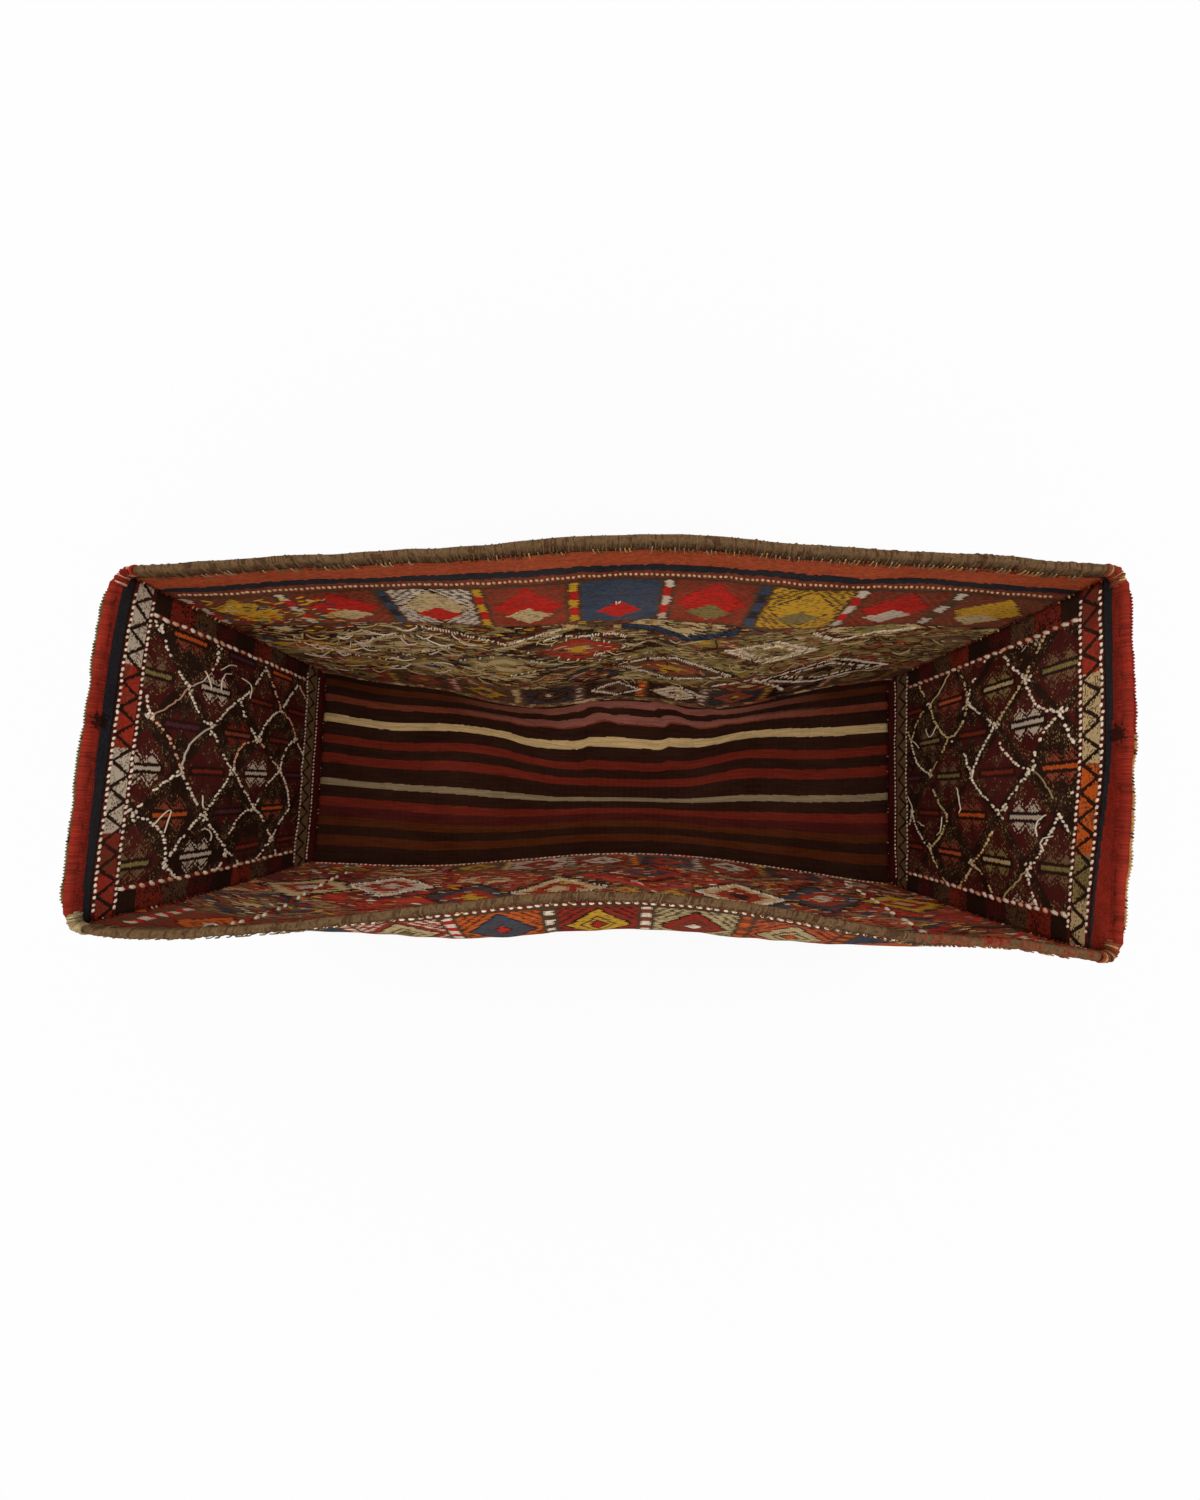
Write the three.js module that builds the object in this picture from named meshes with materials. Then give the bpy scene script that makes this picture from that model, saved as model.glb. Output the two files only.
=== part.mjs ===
// A mafrash: a box-shaped bedding bag of woven wool, open at the top and standing empty.
// Sizes are in millimetres. +Z is up, +X runs along the bag, +Y points to the back wall.
// Each piece is shaped in a straight box first. One shared function then slumps every piece,
// so pieces that meet in the straight box still meet in the soft, sagging bag.
import * as THREE from "three";

// The straight box, over the outer faces of the cloth at half height
const BOX_LENGTH = 1024;
const BOX_WIDTH = 367;
const CLOTH_TOP = 422;
const CLOTH = 4.5;
const FOLD_RADIUS = 30;
const CLEARANCE = 0.4;

// Oversewn seam that joins an end panel to the strip
const SEAM_RADIUS = 2.2;
const SEAM_ARC_STEPS = 3;

// Overcast binding on the top edges of the long sides
const BINDING_WRAP = 3;
const BINDING_DROP = 12;
const BINDING_CROWN = 7;
const BINDING_PLAY = 0.6;

// Folded hem on top of the end panels, and the overcast edging on its outer side
const HEM_DEPTH = 30;
const HEM_THICKNESS = 4;
const HEM_CROWN = 7;
const HEM_ROUND = 3;
const EDGING_RADIUS = 2.5;
const EDGING_RISE = 2;
const EDGING_ARC_STEPS = 4;

// Yarn lashings on the four rim corners
const LASHING_RADIUS = 7.5;
const LASHING_HEIGHT = 8.5;

// Where the bag opens out, twists and leans from base to rim
const END_FLARE = 32;
const SIDE_FLARE = 17;
const BASE_SHEAR = 5;
const RIM_SHEAR = 11;
const SLANT = -12.5;
const SLANT_EASE = 3;
const FRONT_SLANT = 6.5;
const BASE_FORWARD = -20;
const RIM_BACK = 9;
const CORNER_ROUND = 2;

// The back wall: rim bowed out, foot slid in over the base in soft lobes
const BACK_RIM_BOW = 38;
const BACK_RIM_SWELL = 9;
const BACK_RIM_SAG = 14;
const BACK_FOOT_SLIDE = 52;
const BACK_FOOT_LOBE = 12;
const BACK_LOBE_PITCH = 0.72;
const BACK_LOBE_PEAK = 0.42;

// The front wall: rim folded in and down, belly out below it, foot slid in
const FRONT_RIM_FOLD = 54;
const FRONT_RIM_DENT = 10;
const FRONT_RIM_SAG = 34;
const FRONT_BELLY = 32.5;
const FRONT_BELLY_DIP = 0.38;
const FRONT_BELLY_LEVEL = 0.72;
const FRONT_FOOT_SLIDE = 40;

// The end walls, the rims and the ruck in the base
const END_RIM_BOW = 7;
const END_BELLY = 9;
const RIM_RIPPLE = 2.2;
const WALL_RIPPLE = 3;
const BASE_SWAY = 26;
const BASE_RUCK = 11;
const BASE_RUCK_PLACE = 0.56;
const BASE_RUCK_WIDTH = 0.3;

// How finely the cloth is divided
const LENGTH_STEPS = 36;
const BASE_STEPS = 14;
const ARC_STEPS = 2;
const WALL_STEPS = 10;
const CORNER_SHARE = 0.085;

// Values that follow from the sizes above
const HALF_LENGTH = BOX_LENGTH / 2;
const HALF_WIDTH = BOX_WIDTH / 2;
const BOX_HEIGHT = CLOTH_TOP + HEM_CROWN;
const NOTCH = CLOTH + CLEARANCE;
const CORNER = CORNER_SHARE * HALF_WIDTH;
const BINDING_LENGTH = BOX_LENGTH - 2 * (CORNER + CLEARANCE);
const HEM_SHARE = 1 - 1.5 * CORNER_SHARE;
const HEM_FOOT = BOX_HEIGHT - HEM_DEPTH;
const BINDING_FOOT = CLOTH_TOP - BINDING_DROP;
const ROWS = ARC_STEPS + WALL_STEPS + 2;
const PROFILE_STEPS = 2 * ROWS + BASE_STEPS;
const SEAM_CENTRE = NOTCH - CLEARANCE - SEAM_RADIUS + 0.05;

const WOOL_RED = 0x8c281c;
const WOOL_MADDER = 0x7a3022;
const WOOL_BROWN = 0x5a4630;
const WOOL_CAMEL = 0xa67c48;
const WOOL_OLIVE = 0x59523c;
const WOOL_CREAM = 0xd2bc9a;

// A smooth hill: 1 at the centre, 0 at the given half width and beyond
function hill(value, centre, halfWidth) {
  const t = Math.min(Math.abs(value - centre) / halfWidth, 1);
  return (1 - t * t) ** 2;
}

// A hill with a broad flat top
function mesa(value, halfWidth) {
  const t = Math.min(Math.abs(value) / halfWidth, 1);
  return (1 - t ** 4) ** 2;
}

// Takes a point of the straight box to its place in the slumped bag
function slump(point) {
  const a = point.x / HALF_LENGTH;
  const b = point.y / HALF_WIDTH;
  const h = point.z / BOX_HEIGHT;
  const back = THREE.MathUtils.clamp((b + 1) / 2, 0, 1) ** 1.3;
  const front = THREE.MathUtils.clamp((1 - b) / 2, 0, 1) ** 1.3;
  const low = Math.max(1 - h, 0);
  const corner = CORNER_ROUND * Math.min(Math.abs(a), 1) ** 40 * Math.min(Math.abs(b), 1) ** 14;

  let x = a * (HALF_LENGTH + END_FLARE * (h - 0.5));
  x += b * (BASE_SHEAR + RIM_SHEAR * h);
  x += a ** 3 * hill(b, 0.1, 1.3) * (END_RIM_BOW * h ** 2 - END_BELLY * Math.sin(Math.PI * h));
  x -= Math.sign(a) * corner;

  let y = b * (HALF_WIDTH + SIDE_FLARE * (h - 0.5));
  y += a * (SLANT + SLANT_EASE * h) + a * b * FRONT_SLANT;
  y += BASE_FORWARD + RIM_BACK * h;
  y -= Math.sign(b) * corner;

  const lobe = Math.cos((2 * Math.PI * (a - BACK_LOBE_PEAK)) / BACK_LOBE_PITCH);
  const footSlide = (BACK_FOOT_SLIDE + BACK_FOOT_LOBE * lobe) * mesa(a, 1.02);
  const rimBow = BACK_RIM_BOW * hill(a, 0.1, 1.3) + BACK_RIM_SWELL * hill(a, 0.04, 0.4);
  y += back * (rimBow * h ** 2.2 - footSlide * low ** 2);

  const foldAlong = FRONT_RIM_FOLD * hill(a, 0.05, 1) + FRONT_RIM_DENT * hill(a, 0.82, 0.21);
  const rimFold = foldAlong * THREE.MathUtils.smoothstep(h, 0.7, 1);
  const bellyAlong = mesa(a, 1.1) - FRONT_BELLY_DIP * hill(a, 0.19, 0.6);
  const belly = FRONT_BELLY * bellyAlong * hill(h, FRONT_BELLY_LEVEL, 0.5);
  const frontSlide = FRONT_FOOT_SLIDE * hill(a, 0.18, 0.85) * low ** 2;
  y += front * (rimFold - belly + frontSlide);
  y += WALL_RIPPLE * Math.sin(9.5 * a + 0.6) * Math.sin(Math.PI * h) * Math.abs(b) ** 3;

  const sway = hill(a, 0.08, 0.42) - 0.5 * hill(a, -0.45, 0.3) - 0.4 * hill(a, 0.5, 0.22);
  y -= BASE_SWAY * sway * hill(b, 0.3, 0.9) * hill(h, 0, 0.25);

  const rimSag = FRONT_RIM_SAG * hill(a, 0.03, 0.95) * front + BACK_RIM_SAG * hill(a, 0.1, 1.2) * back;
  const ripple = RIM_RIPPLE * Math.sin(17 * a + 5 * b) * Math.abs(a * b);
  const ruck = BASE_RUCK * hill(b, BASE_RUCK_PLACE, BASE_RUCK_WIDTH) * mesa(a, 0.9) * (1 - 0.5 * lobe);
  const z = point.z - (rimSag + ripple) * h ** 3 + ruck * hill(h, 0, 0.2);

  return point.set(x, y, z);
}

// Moves every vertex of a shape to its place in the bag
function slumped(geometry, place) {
  const positions = geometry.getAttribute("position");
  const point = new THREE.Vector3();
  for (let i = 0; i < positions.count; i += 1) {
    point.fromBufferAttribute(positions, i);
    slump(place(point));
    positions.setXYZ(i, point.x, point.y, point.z);
  }
  geometry.computeVertexNormals();
  return geometry;
}

// Half a turn about the upright axis, for the piece on the opposite side
function turned(point) {
  return point.set(-point.x, -point.y, point.z);
}

// Share of the half width at one of the columns that divide the base and the end panels
function columnShare(column) {
  const fromEdge = Math.min(column, BASE_STEPS - column);
  const side = Math.sign(2 * column - BASE_STEPS);
  if (fromEdge === 0) {
    return side;
  }
  if (fromEdge === 1) {
    return side * (1 - CORNER_SHARE);
  }
  return HEM_SHARE * ((2 * (column - 2)) / (BASE_STEPS - 4) - 1);
}

// Place along the bag of one of the steps that divide the strip; all but the last two divide the binding
function lengthPlace(step) {
  if (step < 0.5) {
    return NOTCH - HALF_LENGTH;
  }
  if (step > LENGTH_STEPS - 0.5) {
    return HALF_LENGTH - NOTCH;
  }
  return BINDING_LENGTH * ((step - 1) / (LENGTH_STEPS - 2) - 0.5);
}

// Half width and height of a row of the folded cloth, at a depth in from its outer face
function rowPlace(row, depth) {
  if (row <= ARC_STEPS) {
    const angle = (Math.PI / 2) * (row / ARC_STEPS);
    const radius = FOLD_RADIUS - depth;
    return {
      halfWidth: HALF_WIDTH - FOLD_RADIUS + radius * Math.sin(angle),
      z: FOLD_RADIUS - radius * Math.cos(angle),
    };
  }
  const step = row - ARC_STEPS;
  const levels = [BINDING_FOOT, CLOTH_TOP];
  const z = step <= WALL_STEPS
    ? FOLD_RADIUS + (HEM_FOOT - FOLD_RADIUS) * (step / WALL_STEPS)
    : levels[step - WALL_STEPS - 1];
  return { halfWidth: HALF_WIDTH - depth, z };
}

// The section of the strip, from the front rim over the base to the back rim
function profilePlace(station, depth) {
  if (station <= ROWS) {
    const { halfWidth, z } = rowPlace(ROWS - station, depth);
    return { y: -halfWidth, z };
  }
  if (station >= ROWS + BASE_STEPS) {
    const { halfWidth, z } = rowPlace(station - ROWS - BASE_STEPS, depth);
    return { y: halfWidth, z };
  }
  const { halfWidth, z } = rowPlace(0, depth);
  return { y: columnShare(station - ROWS) * halfWidth, z };
}

// The seam follows the section of the strip, station by station
class SeamPath extends THREE.Curve {
  getPoint(t) {
    const station = Math.min(t * PROFILE_STEPS, PROFILE_STEPS);
    const before = Math.floor(station);
    const after = Math.min(before + 1, PROFILE_STEPS);
    const from = profilePlace(before, SEAM_CENTRE);
    const to = profilePlace(after, SEAM_CENTRE);
    const share = station - before;
    const y = THREE.MathUtils.lerp(from.y, to.y, share);
    const z = THREE.MathUtils.lerp(from.z, to.z, share);
    return new THREE.Vector3(HALF_LENGTH - SEAM_CENTRE, y, z);
  }

  getPointAt(t) {
    return this.getPoint(t);
  }

  getTangentAt(t) {
    return this.getTangent(t);
  }
}

// Front side, base and back side, one woven strip folded up twice
function stripGeometry() {
  const flat = new THREE.BoxGeometry(1, 1, 1, LENGTH_STEPS, PROFILE_STEPS, 1);
  return slumped(flat, (point) => {
    const step = Math.round((point.x + 0.5) * LENGTH_STEPS);
    const station = Math.round((point.y + 0.5) * PROFILE_STEPS);
    const { y, z } = profilePlace(station, (point.z + 0.5) * CLOTH);
    return point.set(lengthPlace(step), y, z);
  });
}

// An end panel with its hem folded to the outside
function endPanelGeometry(turn) {
  const flat = new THREE.BoxGeometry(1, 1, 1, 2, BASE_STEPS, ROWS);
  return slumped(flat, (point) => {
    const column = Math.round((point.y + 0.5) * BASE_STEPS);
    const row = Math.round((point.z + 0.5) * ROWS);
    const share = columnShare(column);
    const place = rowPlace(row, NOTCH);
    const inHem = Math.abs(share) <= HEM_SHARE;
    const thickness = inHem && place.z >= BINDING_FOOT ? CLOTH + HEM_THICKNESS : CLOTH;
    const crown = inHem && row === ROWS ? HEM_CROWN - HEM_ROUND * Math.abs(2 * point.x) : 0;
    const x = HALF_LENGTH - CLOTH + (point.x + 0.5) * thickness;
    return turn(point.set(x, share * place.halfWidth, place.z + crown));
  });
}

// The overcast binding straddles the top edge of a long side
function bindingGeometry(turn) {
  const inside = BINDING_PLAY;
  const outside = BINDING_PLAY + BINDING_WRAP;
  const shoulder = CLOTH_TOP + BINDING_PLAY;
  const crown = CLOTH_TOP + BINDING_CROWN;
  const section = new THREE.Shape();
  section.moveTo(-outside, BINDING_FOOT);
  section.lineTo(-inside, BINDING_FOOT);
  section.lineTo(-inside, shoulder);
  section.lineTo(CLOTH + inside, shoulder);
  section.lineTo(CLOTH + inside, BINDING_FOOT);
  section.lineTo(CLOTH + outside, BINDING_FOOT);
  section.lineTo(CLOTH + outside, shoulder);
  section.bezierCurveTo(CLOTH + outside, crown, -outside, crown, -outside, shoulder);
  const straight = new THREE.ExtrudeGeometry(section, {
    depth: BINDING_LENGTH,
    steps: LENGTH_STEPS - 2,
    curveSegments: 4,
    bevelEnabled: false,
  });
  return slumped(straight, (point) => {
    return turn(point.set(point.z - BINDING_LENGTH / 2, point.x - HALF_WIDTH, point.y));
  });
}

// The seam runs down one corner, along the base and up the other corner
function seamGeometry(turn) {
  const section = new THREE.Shape();
  section.absarc(0, 0, SEAM_RADIUS, 0, 2 * Math.PI, false);
  const cord = new THREE.ExtrudeGeometry(section, {
    extrudePath: new SeamPath(),
    steps: PROFILE_STEPS,
    curveSegments: SEAM_ARC_STEPS,
    bevelEnabled: false,
  });
  return slumped(cord, turn);
}

// Overcast edging along the outer side of a hem
function edgingGeometry(turn) {
  const length = 2 * HEM_SHARE * (HALF_WIDTH - NOTCH);
  const section = new THREE.Shape();
  section.absarc(0, 0, EDGING_RADIUS, 0, 2 * Math.PI, false);
  const straight = new THREE.ExtrudeGeometry(section, {
    depth: length,
    steps: BASE_STEPS - 4,
    curveSegments: EDGING_ARC_STEPS,
    bevelEnabled: false,
  });
  const x = HALF_LENGTH + HEM_THICKNESS + CLEARANCE + EDGING_RADIUS;
  const z = CLOTH_TOP + EDGING_RISE;
  return slumped(straight, (point) => {
    return turn(point.set(x + point.y, point.z - length / 2, z + point.x));
  });
}

// A knot of sewing yarn that ties binding and hem together on a rim corner
function lashingGeometry(endSide, longSide) {
  const profile = new THREE.Path();
  profile.moveTo(0, 0);
  profile.lineTo(LASHING_RADIUS * 0.9, 0);
  profile.bezierCurveTo(
    LASHING_RADIUS * 1.1, LASHING_HEIGHT * 0.6,
    LASHING_RADIUS * 0.6, LASHING_HEIGHT,
    0, LASHING_HEIGHT,
  );
  const knot = new THREE.LatheGeometry(profile.getPoints(4), 10);
  const x = endSide * (HALF_LENGTH - CORNER / 2);
  const y = longSide * (HALF_WIDTH - CORNER / 2);
  const z = CLOTH_TOP + CLEARANCE;
  return slumped(knot, (point) => point.set(x + point.x, y - point.z, z + point.y));
}

function named(name, geometry, color) {
  const material = new THREE.MeshStandardMaterial({ color, roughness: 0.95, metalness: 0 });
  const mesh = new THREE.Mesh(geometry, material);
  mesh.name = name;
  return mesh;
}

function kept(point) {
  return point;
}

const bag = new THREE.Group();
bag.name = "mafrash";

bag.add(named("side_and_base_strip", stripGeometry(), WOOL_MADDER));
bag.add(named("right_end_panel", endPanelGeometry(kept), WOOL_RED));
bag.add(named("left_end_panel", endPanelGeometry(turned), WOOL_RED));
bag.add(named("front_rim_binding", bindingGeometry(kept), WOOL_BROWN));
bag.add(named("back_rim_binding", bindingGeometry(turned), WOOL_BROWN));
bag.add(named("right_end_seam", seamGeometry(kept), WOOL_BROWN));
bag.add(named("left_end_seam", seamGeometry(turned), WOOL_BROWN));
bag.add(named("right_hem_edging", edgingGeometry(kept), WOOL_CAMEL));
bag.add(named("left_hem_edging", edgingGeometry(turned), WOOL_OLIVE));

for (const [endName, endSide] of [["left", -1], ["right", 1]]) {
  for (const [sideName, longSide] of [["front", -1], ["back", 1]]) {
    const name = `${sideName}_${endName}_lashing`;
    bag.add(named(name, lashingGeometry(endSide, longSide), WOOL_CREAM));
  }
}

export default bag;
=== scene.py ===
"""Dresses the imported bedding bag: woven cloth, overcast rims, sewn corners and loose pattern yarn."""

import math
from functools import partialmethod
from typing import NamedTuple

import bpy
import numpy as np
from bpy.props import FloatProperty, FloatVectorProperty, IntProperty, PointerProperty
from bpy.types import Operator, Panel, PropertyGroup
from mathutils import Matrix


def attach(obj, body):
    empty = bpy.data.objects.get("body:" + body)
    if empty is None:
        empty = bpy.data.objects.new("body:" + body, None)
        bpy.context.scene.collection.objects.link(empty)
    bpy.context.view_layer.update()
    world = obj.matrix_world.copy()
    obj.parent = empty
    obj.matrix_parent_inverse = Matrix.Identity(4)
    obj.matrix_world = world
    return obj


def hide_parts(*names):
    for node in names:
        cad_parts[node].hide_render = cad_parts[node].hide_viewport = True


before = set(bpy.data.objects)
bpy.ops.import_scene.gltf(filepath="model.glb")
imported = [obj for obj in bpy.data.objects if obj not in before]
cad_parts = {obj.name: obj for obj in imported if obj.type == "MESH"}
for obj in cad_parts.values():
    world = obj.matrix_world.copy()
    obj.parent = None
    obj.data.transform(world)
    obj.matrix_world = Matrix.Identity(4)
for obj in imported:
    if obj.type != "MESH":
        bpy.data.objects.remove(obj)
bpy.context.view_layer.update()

bl_info = {
    "name": "Woven bedding bag",
    "version": (1, 0, 0),
    "blender": (4, 5, 0),
    "location": "View3D > Sidebar > Bedding bag",
    "description": "Dresses the packed bag with woven cloth, overcast rims and pattern yarn",
    "category": "Object",
}

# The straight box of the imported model, over the outer faces of the cloth, in metres
BOX_LENGTH = 1.024
BOX_WIDTH = 0.367
CLOTH_TOP = 0.422
CLOTH = 0.0045
FOLD_RADIUS = 0.030
NOTCH = 0.0049
HEM_CROWN = 0.007
HEM_THICKNESS = 0.004
HEM_FOOT = 0.399
HEM_LIP = 0.0245
CORNER_SHARE = 0.085
SEAM_CENTRE = 0.00235

# Where the bag opens out, twists and leans from base to rim
END_FLARE = 0.032
SIDE_FLARE = 0.017
BASE_SHEAR = 0.005
RIM_SHEAR = 0.011
SLANT = -0.0125
SLANT_EASE = 0.003
FRONT_SLANT = 0.0065
BASE_FORWARD = -0.020
RIM_BACK = 0.009
CORNER_ROUND = 0.002

# The back wall: rim bowed out, foot slid in over the base in soft lobes
BACK_RIM_BOW = 0.038
BACK_RIM_SWELL = 0.009
BACK_RIM_SAG = 0.014
BACK_FOOT_SLIDE = 0.052
BACK_FOOT_LOBE = 0.012
BACK_LOBE_PITCH = 0.72
BACK_LOBE_PEAK = 0.42

# The front wall: rim folded in and down, belly out below it, foot slid in
FRONT_RIM_FOLD = 0.054
FRONT_RIM_DENT = 0.010
FRONT_RIM_SAG = 0.034
FRONT_BELLY = 0.0325
FRONT_BELLY_DIP = 0.38
FRONT_BELLY_LEVEL = 0.72
FRONT_FOOT_SLIDE = 0.040

# The end walls, the rims and the ruck in the base
END_RIM_BOW = 0.007
END_BELLY = 0.009
RIM_RIPPLE = 0.0022
WALL_RIPPLE = 0.003
BASE_SWAY = 0.026
BASE_RUCK = 0.011
BASE_RUCK_PLACE = 0.56
BASE_RUCK_WIDTH = 0.3

# Sharp little folds across the base near the back wall: place along the bag, step and width
BASE_KINKS = (
    (-0.165, -0.0085, 0.012),
    (-0.036, 0.0065, 0.005),
    (0.106, 0.0085, 0.005),
)
KINK_START = 0.003
KINK_DRIFT = 0.030
KINK_REACH = 0.23
KINK_RIDGE = 0.005

# Fine rumples: where a wall turns into the base along its run, and the pitch of the puckers at the seams
BASE_TURN = (0.37, 0.46)
PUCKER_PITCH = 0.026
NOISE_CELLS = 97

# Values that follow from the sizes above
HALF_LENGTH = BOX_LENGTH / 2
HALF_WIDTH = BOX_WIDTH / 2
BOX_HEIGHT = CLOTH_TOP + HEM_CROWN
CORNER = CORNER_SHARE * HALF_WIDTH
HALF_END = HALF_WIDTH - NOTCH
STRIP_END = HALF_LENGTH - NOTCH
WALL_RUN = CLOTH_TOP - FOLD_RADIUS
ARC_RUN = FOLD_RADIUS * math.pi / 2
BASE_RUN = BOX_WIDTH - 2 * FOLD_RADIUS
STRIP_RUN = 2 * WALL_RUN + 2 * ARC_RUN + BASE_RUN

# The rim bindings: their length, and how far down the middle of their wraps lies
BINDING_LENGTH = BOX_LENGTH - 2 * (CORNER + 0.0004)
BINDING_DROP = 0.0045
# The end seams: radius of the core, where it and its stitches start, and how far out they may stand
SEAM_RADIUS = 0.0017
SEAM_INSET = 0.001
SEAM_START = 0.01
SEAM_OUT = 0.0022
# The hem edgings: length and radius, how they lie, and how they turn in at their ends
EDGING_LENGTH = BOX_WIDTH - 0.020
EDGING_RADIUS = 0.0013
EDGING_OUT = 0.0019
EDGING_RISE = 0.0022
EDGING_TURN = 0.022
EDGING_TUCK = 0.007
# The corner lashings: run round the corner, radius, tails at both ends, and depth below the rim
LASHING_RUN = 0.0225
LASHING_RADIUS = 0.0042
LASHING_TAILS = (0.002, 0.003)
LASHING_DROP = 0.0015
# The ends of a hem: the share over which it thins out, and how much of its crown is lost there
HEM_TAPER = 0.07
HEM_TAPER_DROP = 0.9
# How far the hem cloth reaches down inside, and the cloth of the walls along the strip
HEM_INSIDE = 0.002
BORDER_RUN = 0.408


def linear(value):
    """One channel of a screen colour, 0 to 255, as a linear value."""
    share = value / 255
    if share <= 0.04045:
        return share / 12.92
    return ((share + 0.055) / 1.055) ** 2.4


def wool(name, description, *screen):
    """A dyed wool, given by its colour on screen."""
    return FloatVectorProperty(
        name=name, description=description, subtype="COLOR", size=3, min=0.0, max=1.0,
        default=[linear(value) for value in screen],
    )


def length(name, description, default):
    """A length in metres."""
    return FloatProperty(
        name=name, description=description, default=default, min=0.0, unit="LENGTH", precision=5
    )


class WoolColours(PropertyGroup):
    """The dyed wools of the bag"""

    madder: wool("Madder", "Hems of the end panels", 148, 43, 30)
    rust: wool("Rust", "Plain band under the back rim", 188, 86, 52)
    scarlet: wool("Scarlet", "Bright pattern red", 182, 36, 29)
    claret: wool("Claret", "Dark ground red", 116, 38, 25)
    maroon: wool("Maroon", "Darkest red of the end panels", 74, 24, 22)
    brick: wool("Brick", "Brown red ground", 128, 62, 42)
    orange: wool("Orange", "Pattern orange", 196, 88, 32)
    gold: wool("Gold", "Pattern yellow", 198, 150, 46)
    olive: wool("Olive", "Pattern olive", 122, 106, 62)
    sand: wool("Sand", "Beige pattern yarn", 190, 164, 118)
    ivory: wool("Ivory", "Undyed white yarn", 230, 210, 184)
    blush: wool("Blush", "Pink worn stripe of the base", 160, 98, 84)
    shell: wool("Shell", "Pale pink twined dots", 214, 160, 128)
    indigo: wool("Indigo", "Pattern blue", 58, 69, 84)
    navy: wool("Navy", "Dark blue bands", 47, 45, 49)
    plum: wool("Plum", "Purple pattern yarn", 78, 38, 50)
    umber: wool("Umber", "Brown ground", 84, 58, 40)
    soot: wool("Soot", "Near black goat hair", 40, 23, 16)
    cream: wool("Cream", "Cream stripe of the base", 214, 182, 126)
    dun: wool("Dun", "Narrow pale stripe of the base", 152, 132, 98)
    tan: wool("Tan", "Orange brown stripes of the base", 84, 39, 15)
    moss: wool("Moss", "Overcast yarn of the long rims", 106, 81, 55)
    camel: wool("Camel", "Edging of the right hem", 186, 142, 88)


class ClothSizes(PropertyGroup):
    """How the cloth is woven"""

    grid: length("Grid", "Spacing of the points of the cloth", 0.006)
    rumple: length("Rumple", "Height of the soft rumples", 0.0016)
    yarn_width: length("Yarn width", "Width of one weft yarn", 0.0016)
    float_length: length("Float length", "Length of one pattern yarn", 0.0042)
    # How much lighter the wool inside the bag is painted: painted light in place of the shade inside it
    inside_painted_light: FloatProperty(
        name="Inside lift", description="How much lighter the shaded wool inside is", default=2.35, min=0.1
    )


class YarnSizes(PropertyGroup):
    """How the yarns are wrapped and laid"""

    wrap_pitch: length("Wrap pitch", "Spacing of the overcast wraps on the long rims", 0.0027)
    wrap_yarn: length("Wrap yarn", "Radius of the overcast yarn", 0.0011)
    stitch_pitch: length("Stitch pitch", "Spacing of the stitches in the end seams", 0.0065)
    stitch_yarn: length("Stitch yarn", "Radius of the sewing yarn", 0.0010)
    edging_pitch: length("Edging pitch", "Spacing of the wraps on the hem edging", 0.0032)
    outline_yarn: length("Outline yarn", "Radius of the raised white pattern yarn", 0.0017)
    bead_pitch: length("Bead pitch", "Spacing of the twined dots", 0.0060)
    loose_floats: IntProperty(
        name="Loose floats", description="Loose pattern yarns on the back wall", default=700, min=0
    )
    seed: IntProperty(name="Seed", description="Seed of everything irregular", default=7, min=0)


SETTINGS = {"wool_colours": WoolColours, "cloth_sizes": ClothSizes, "yarn_sizes": YarnSizes}


def dyed(colour):
    """The colour of a wool that is given by its name. Other colours stay as they are."""
    if isinstance(colour, str):
        return tuple(getattr(bpy.context.scene.wool_colours, colour))
    return colour


# The slumped shape of the bag


def hill(value, centre, half_width):
    """1 at the centre, smoothly 0 at the half width and beyond."""
    share = np.minimum(np.abs(value - centre) / half_width, 1)
    return (1 - share**2) ** 2


def mesa(value, half_width):
    """A hill with a broad flat top."""
    share = np.minimum(np.abs(value) / half_width, 1)
    return (1 - share**4) ** 2


def smooth(value, low, high):
    """0 below low, 1 above high, and smooth between them."""
    share = np.clip((value - low) / (high - low), 0, 1)
    return share * share * (3 - 2 * share)


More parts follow.
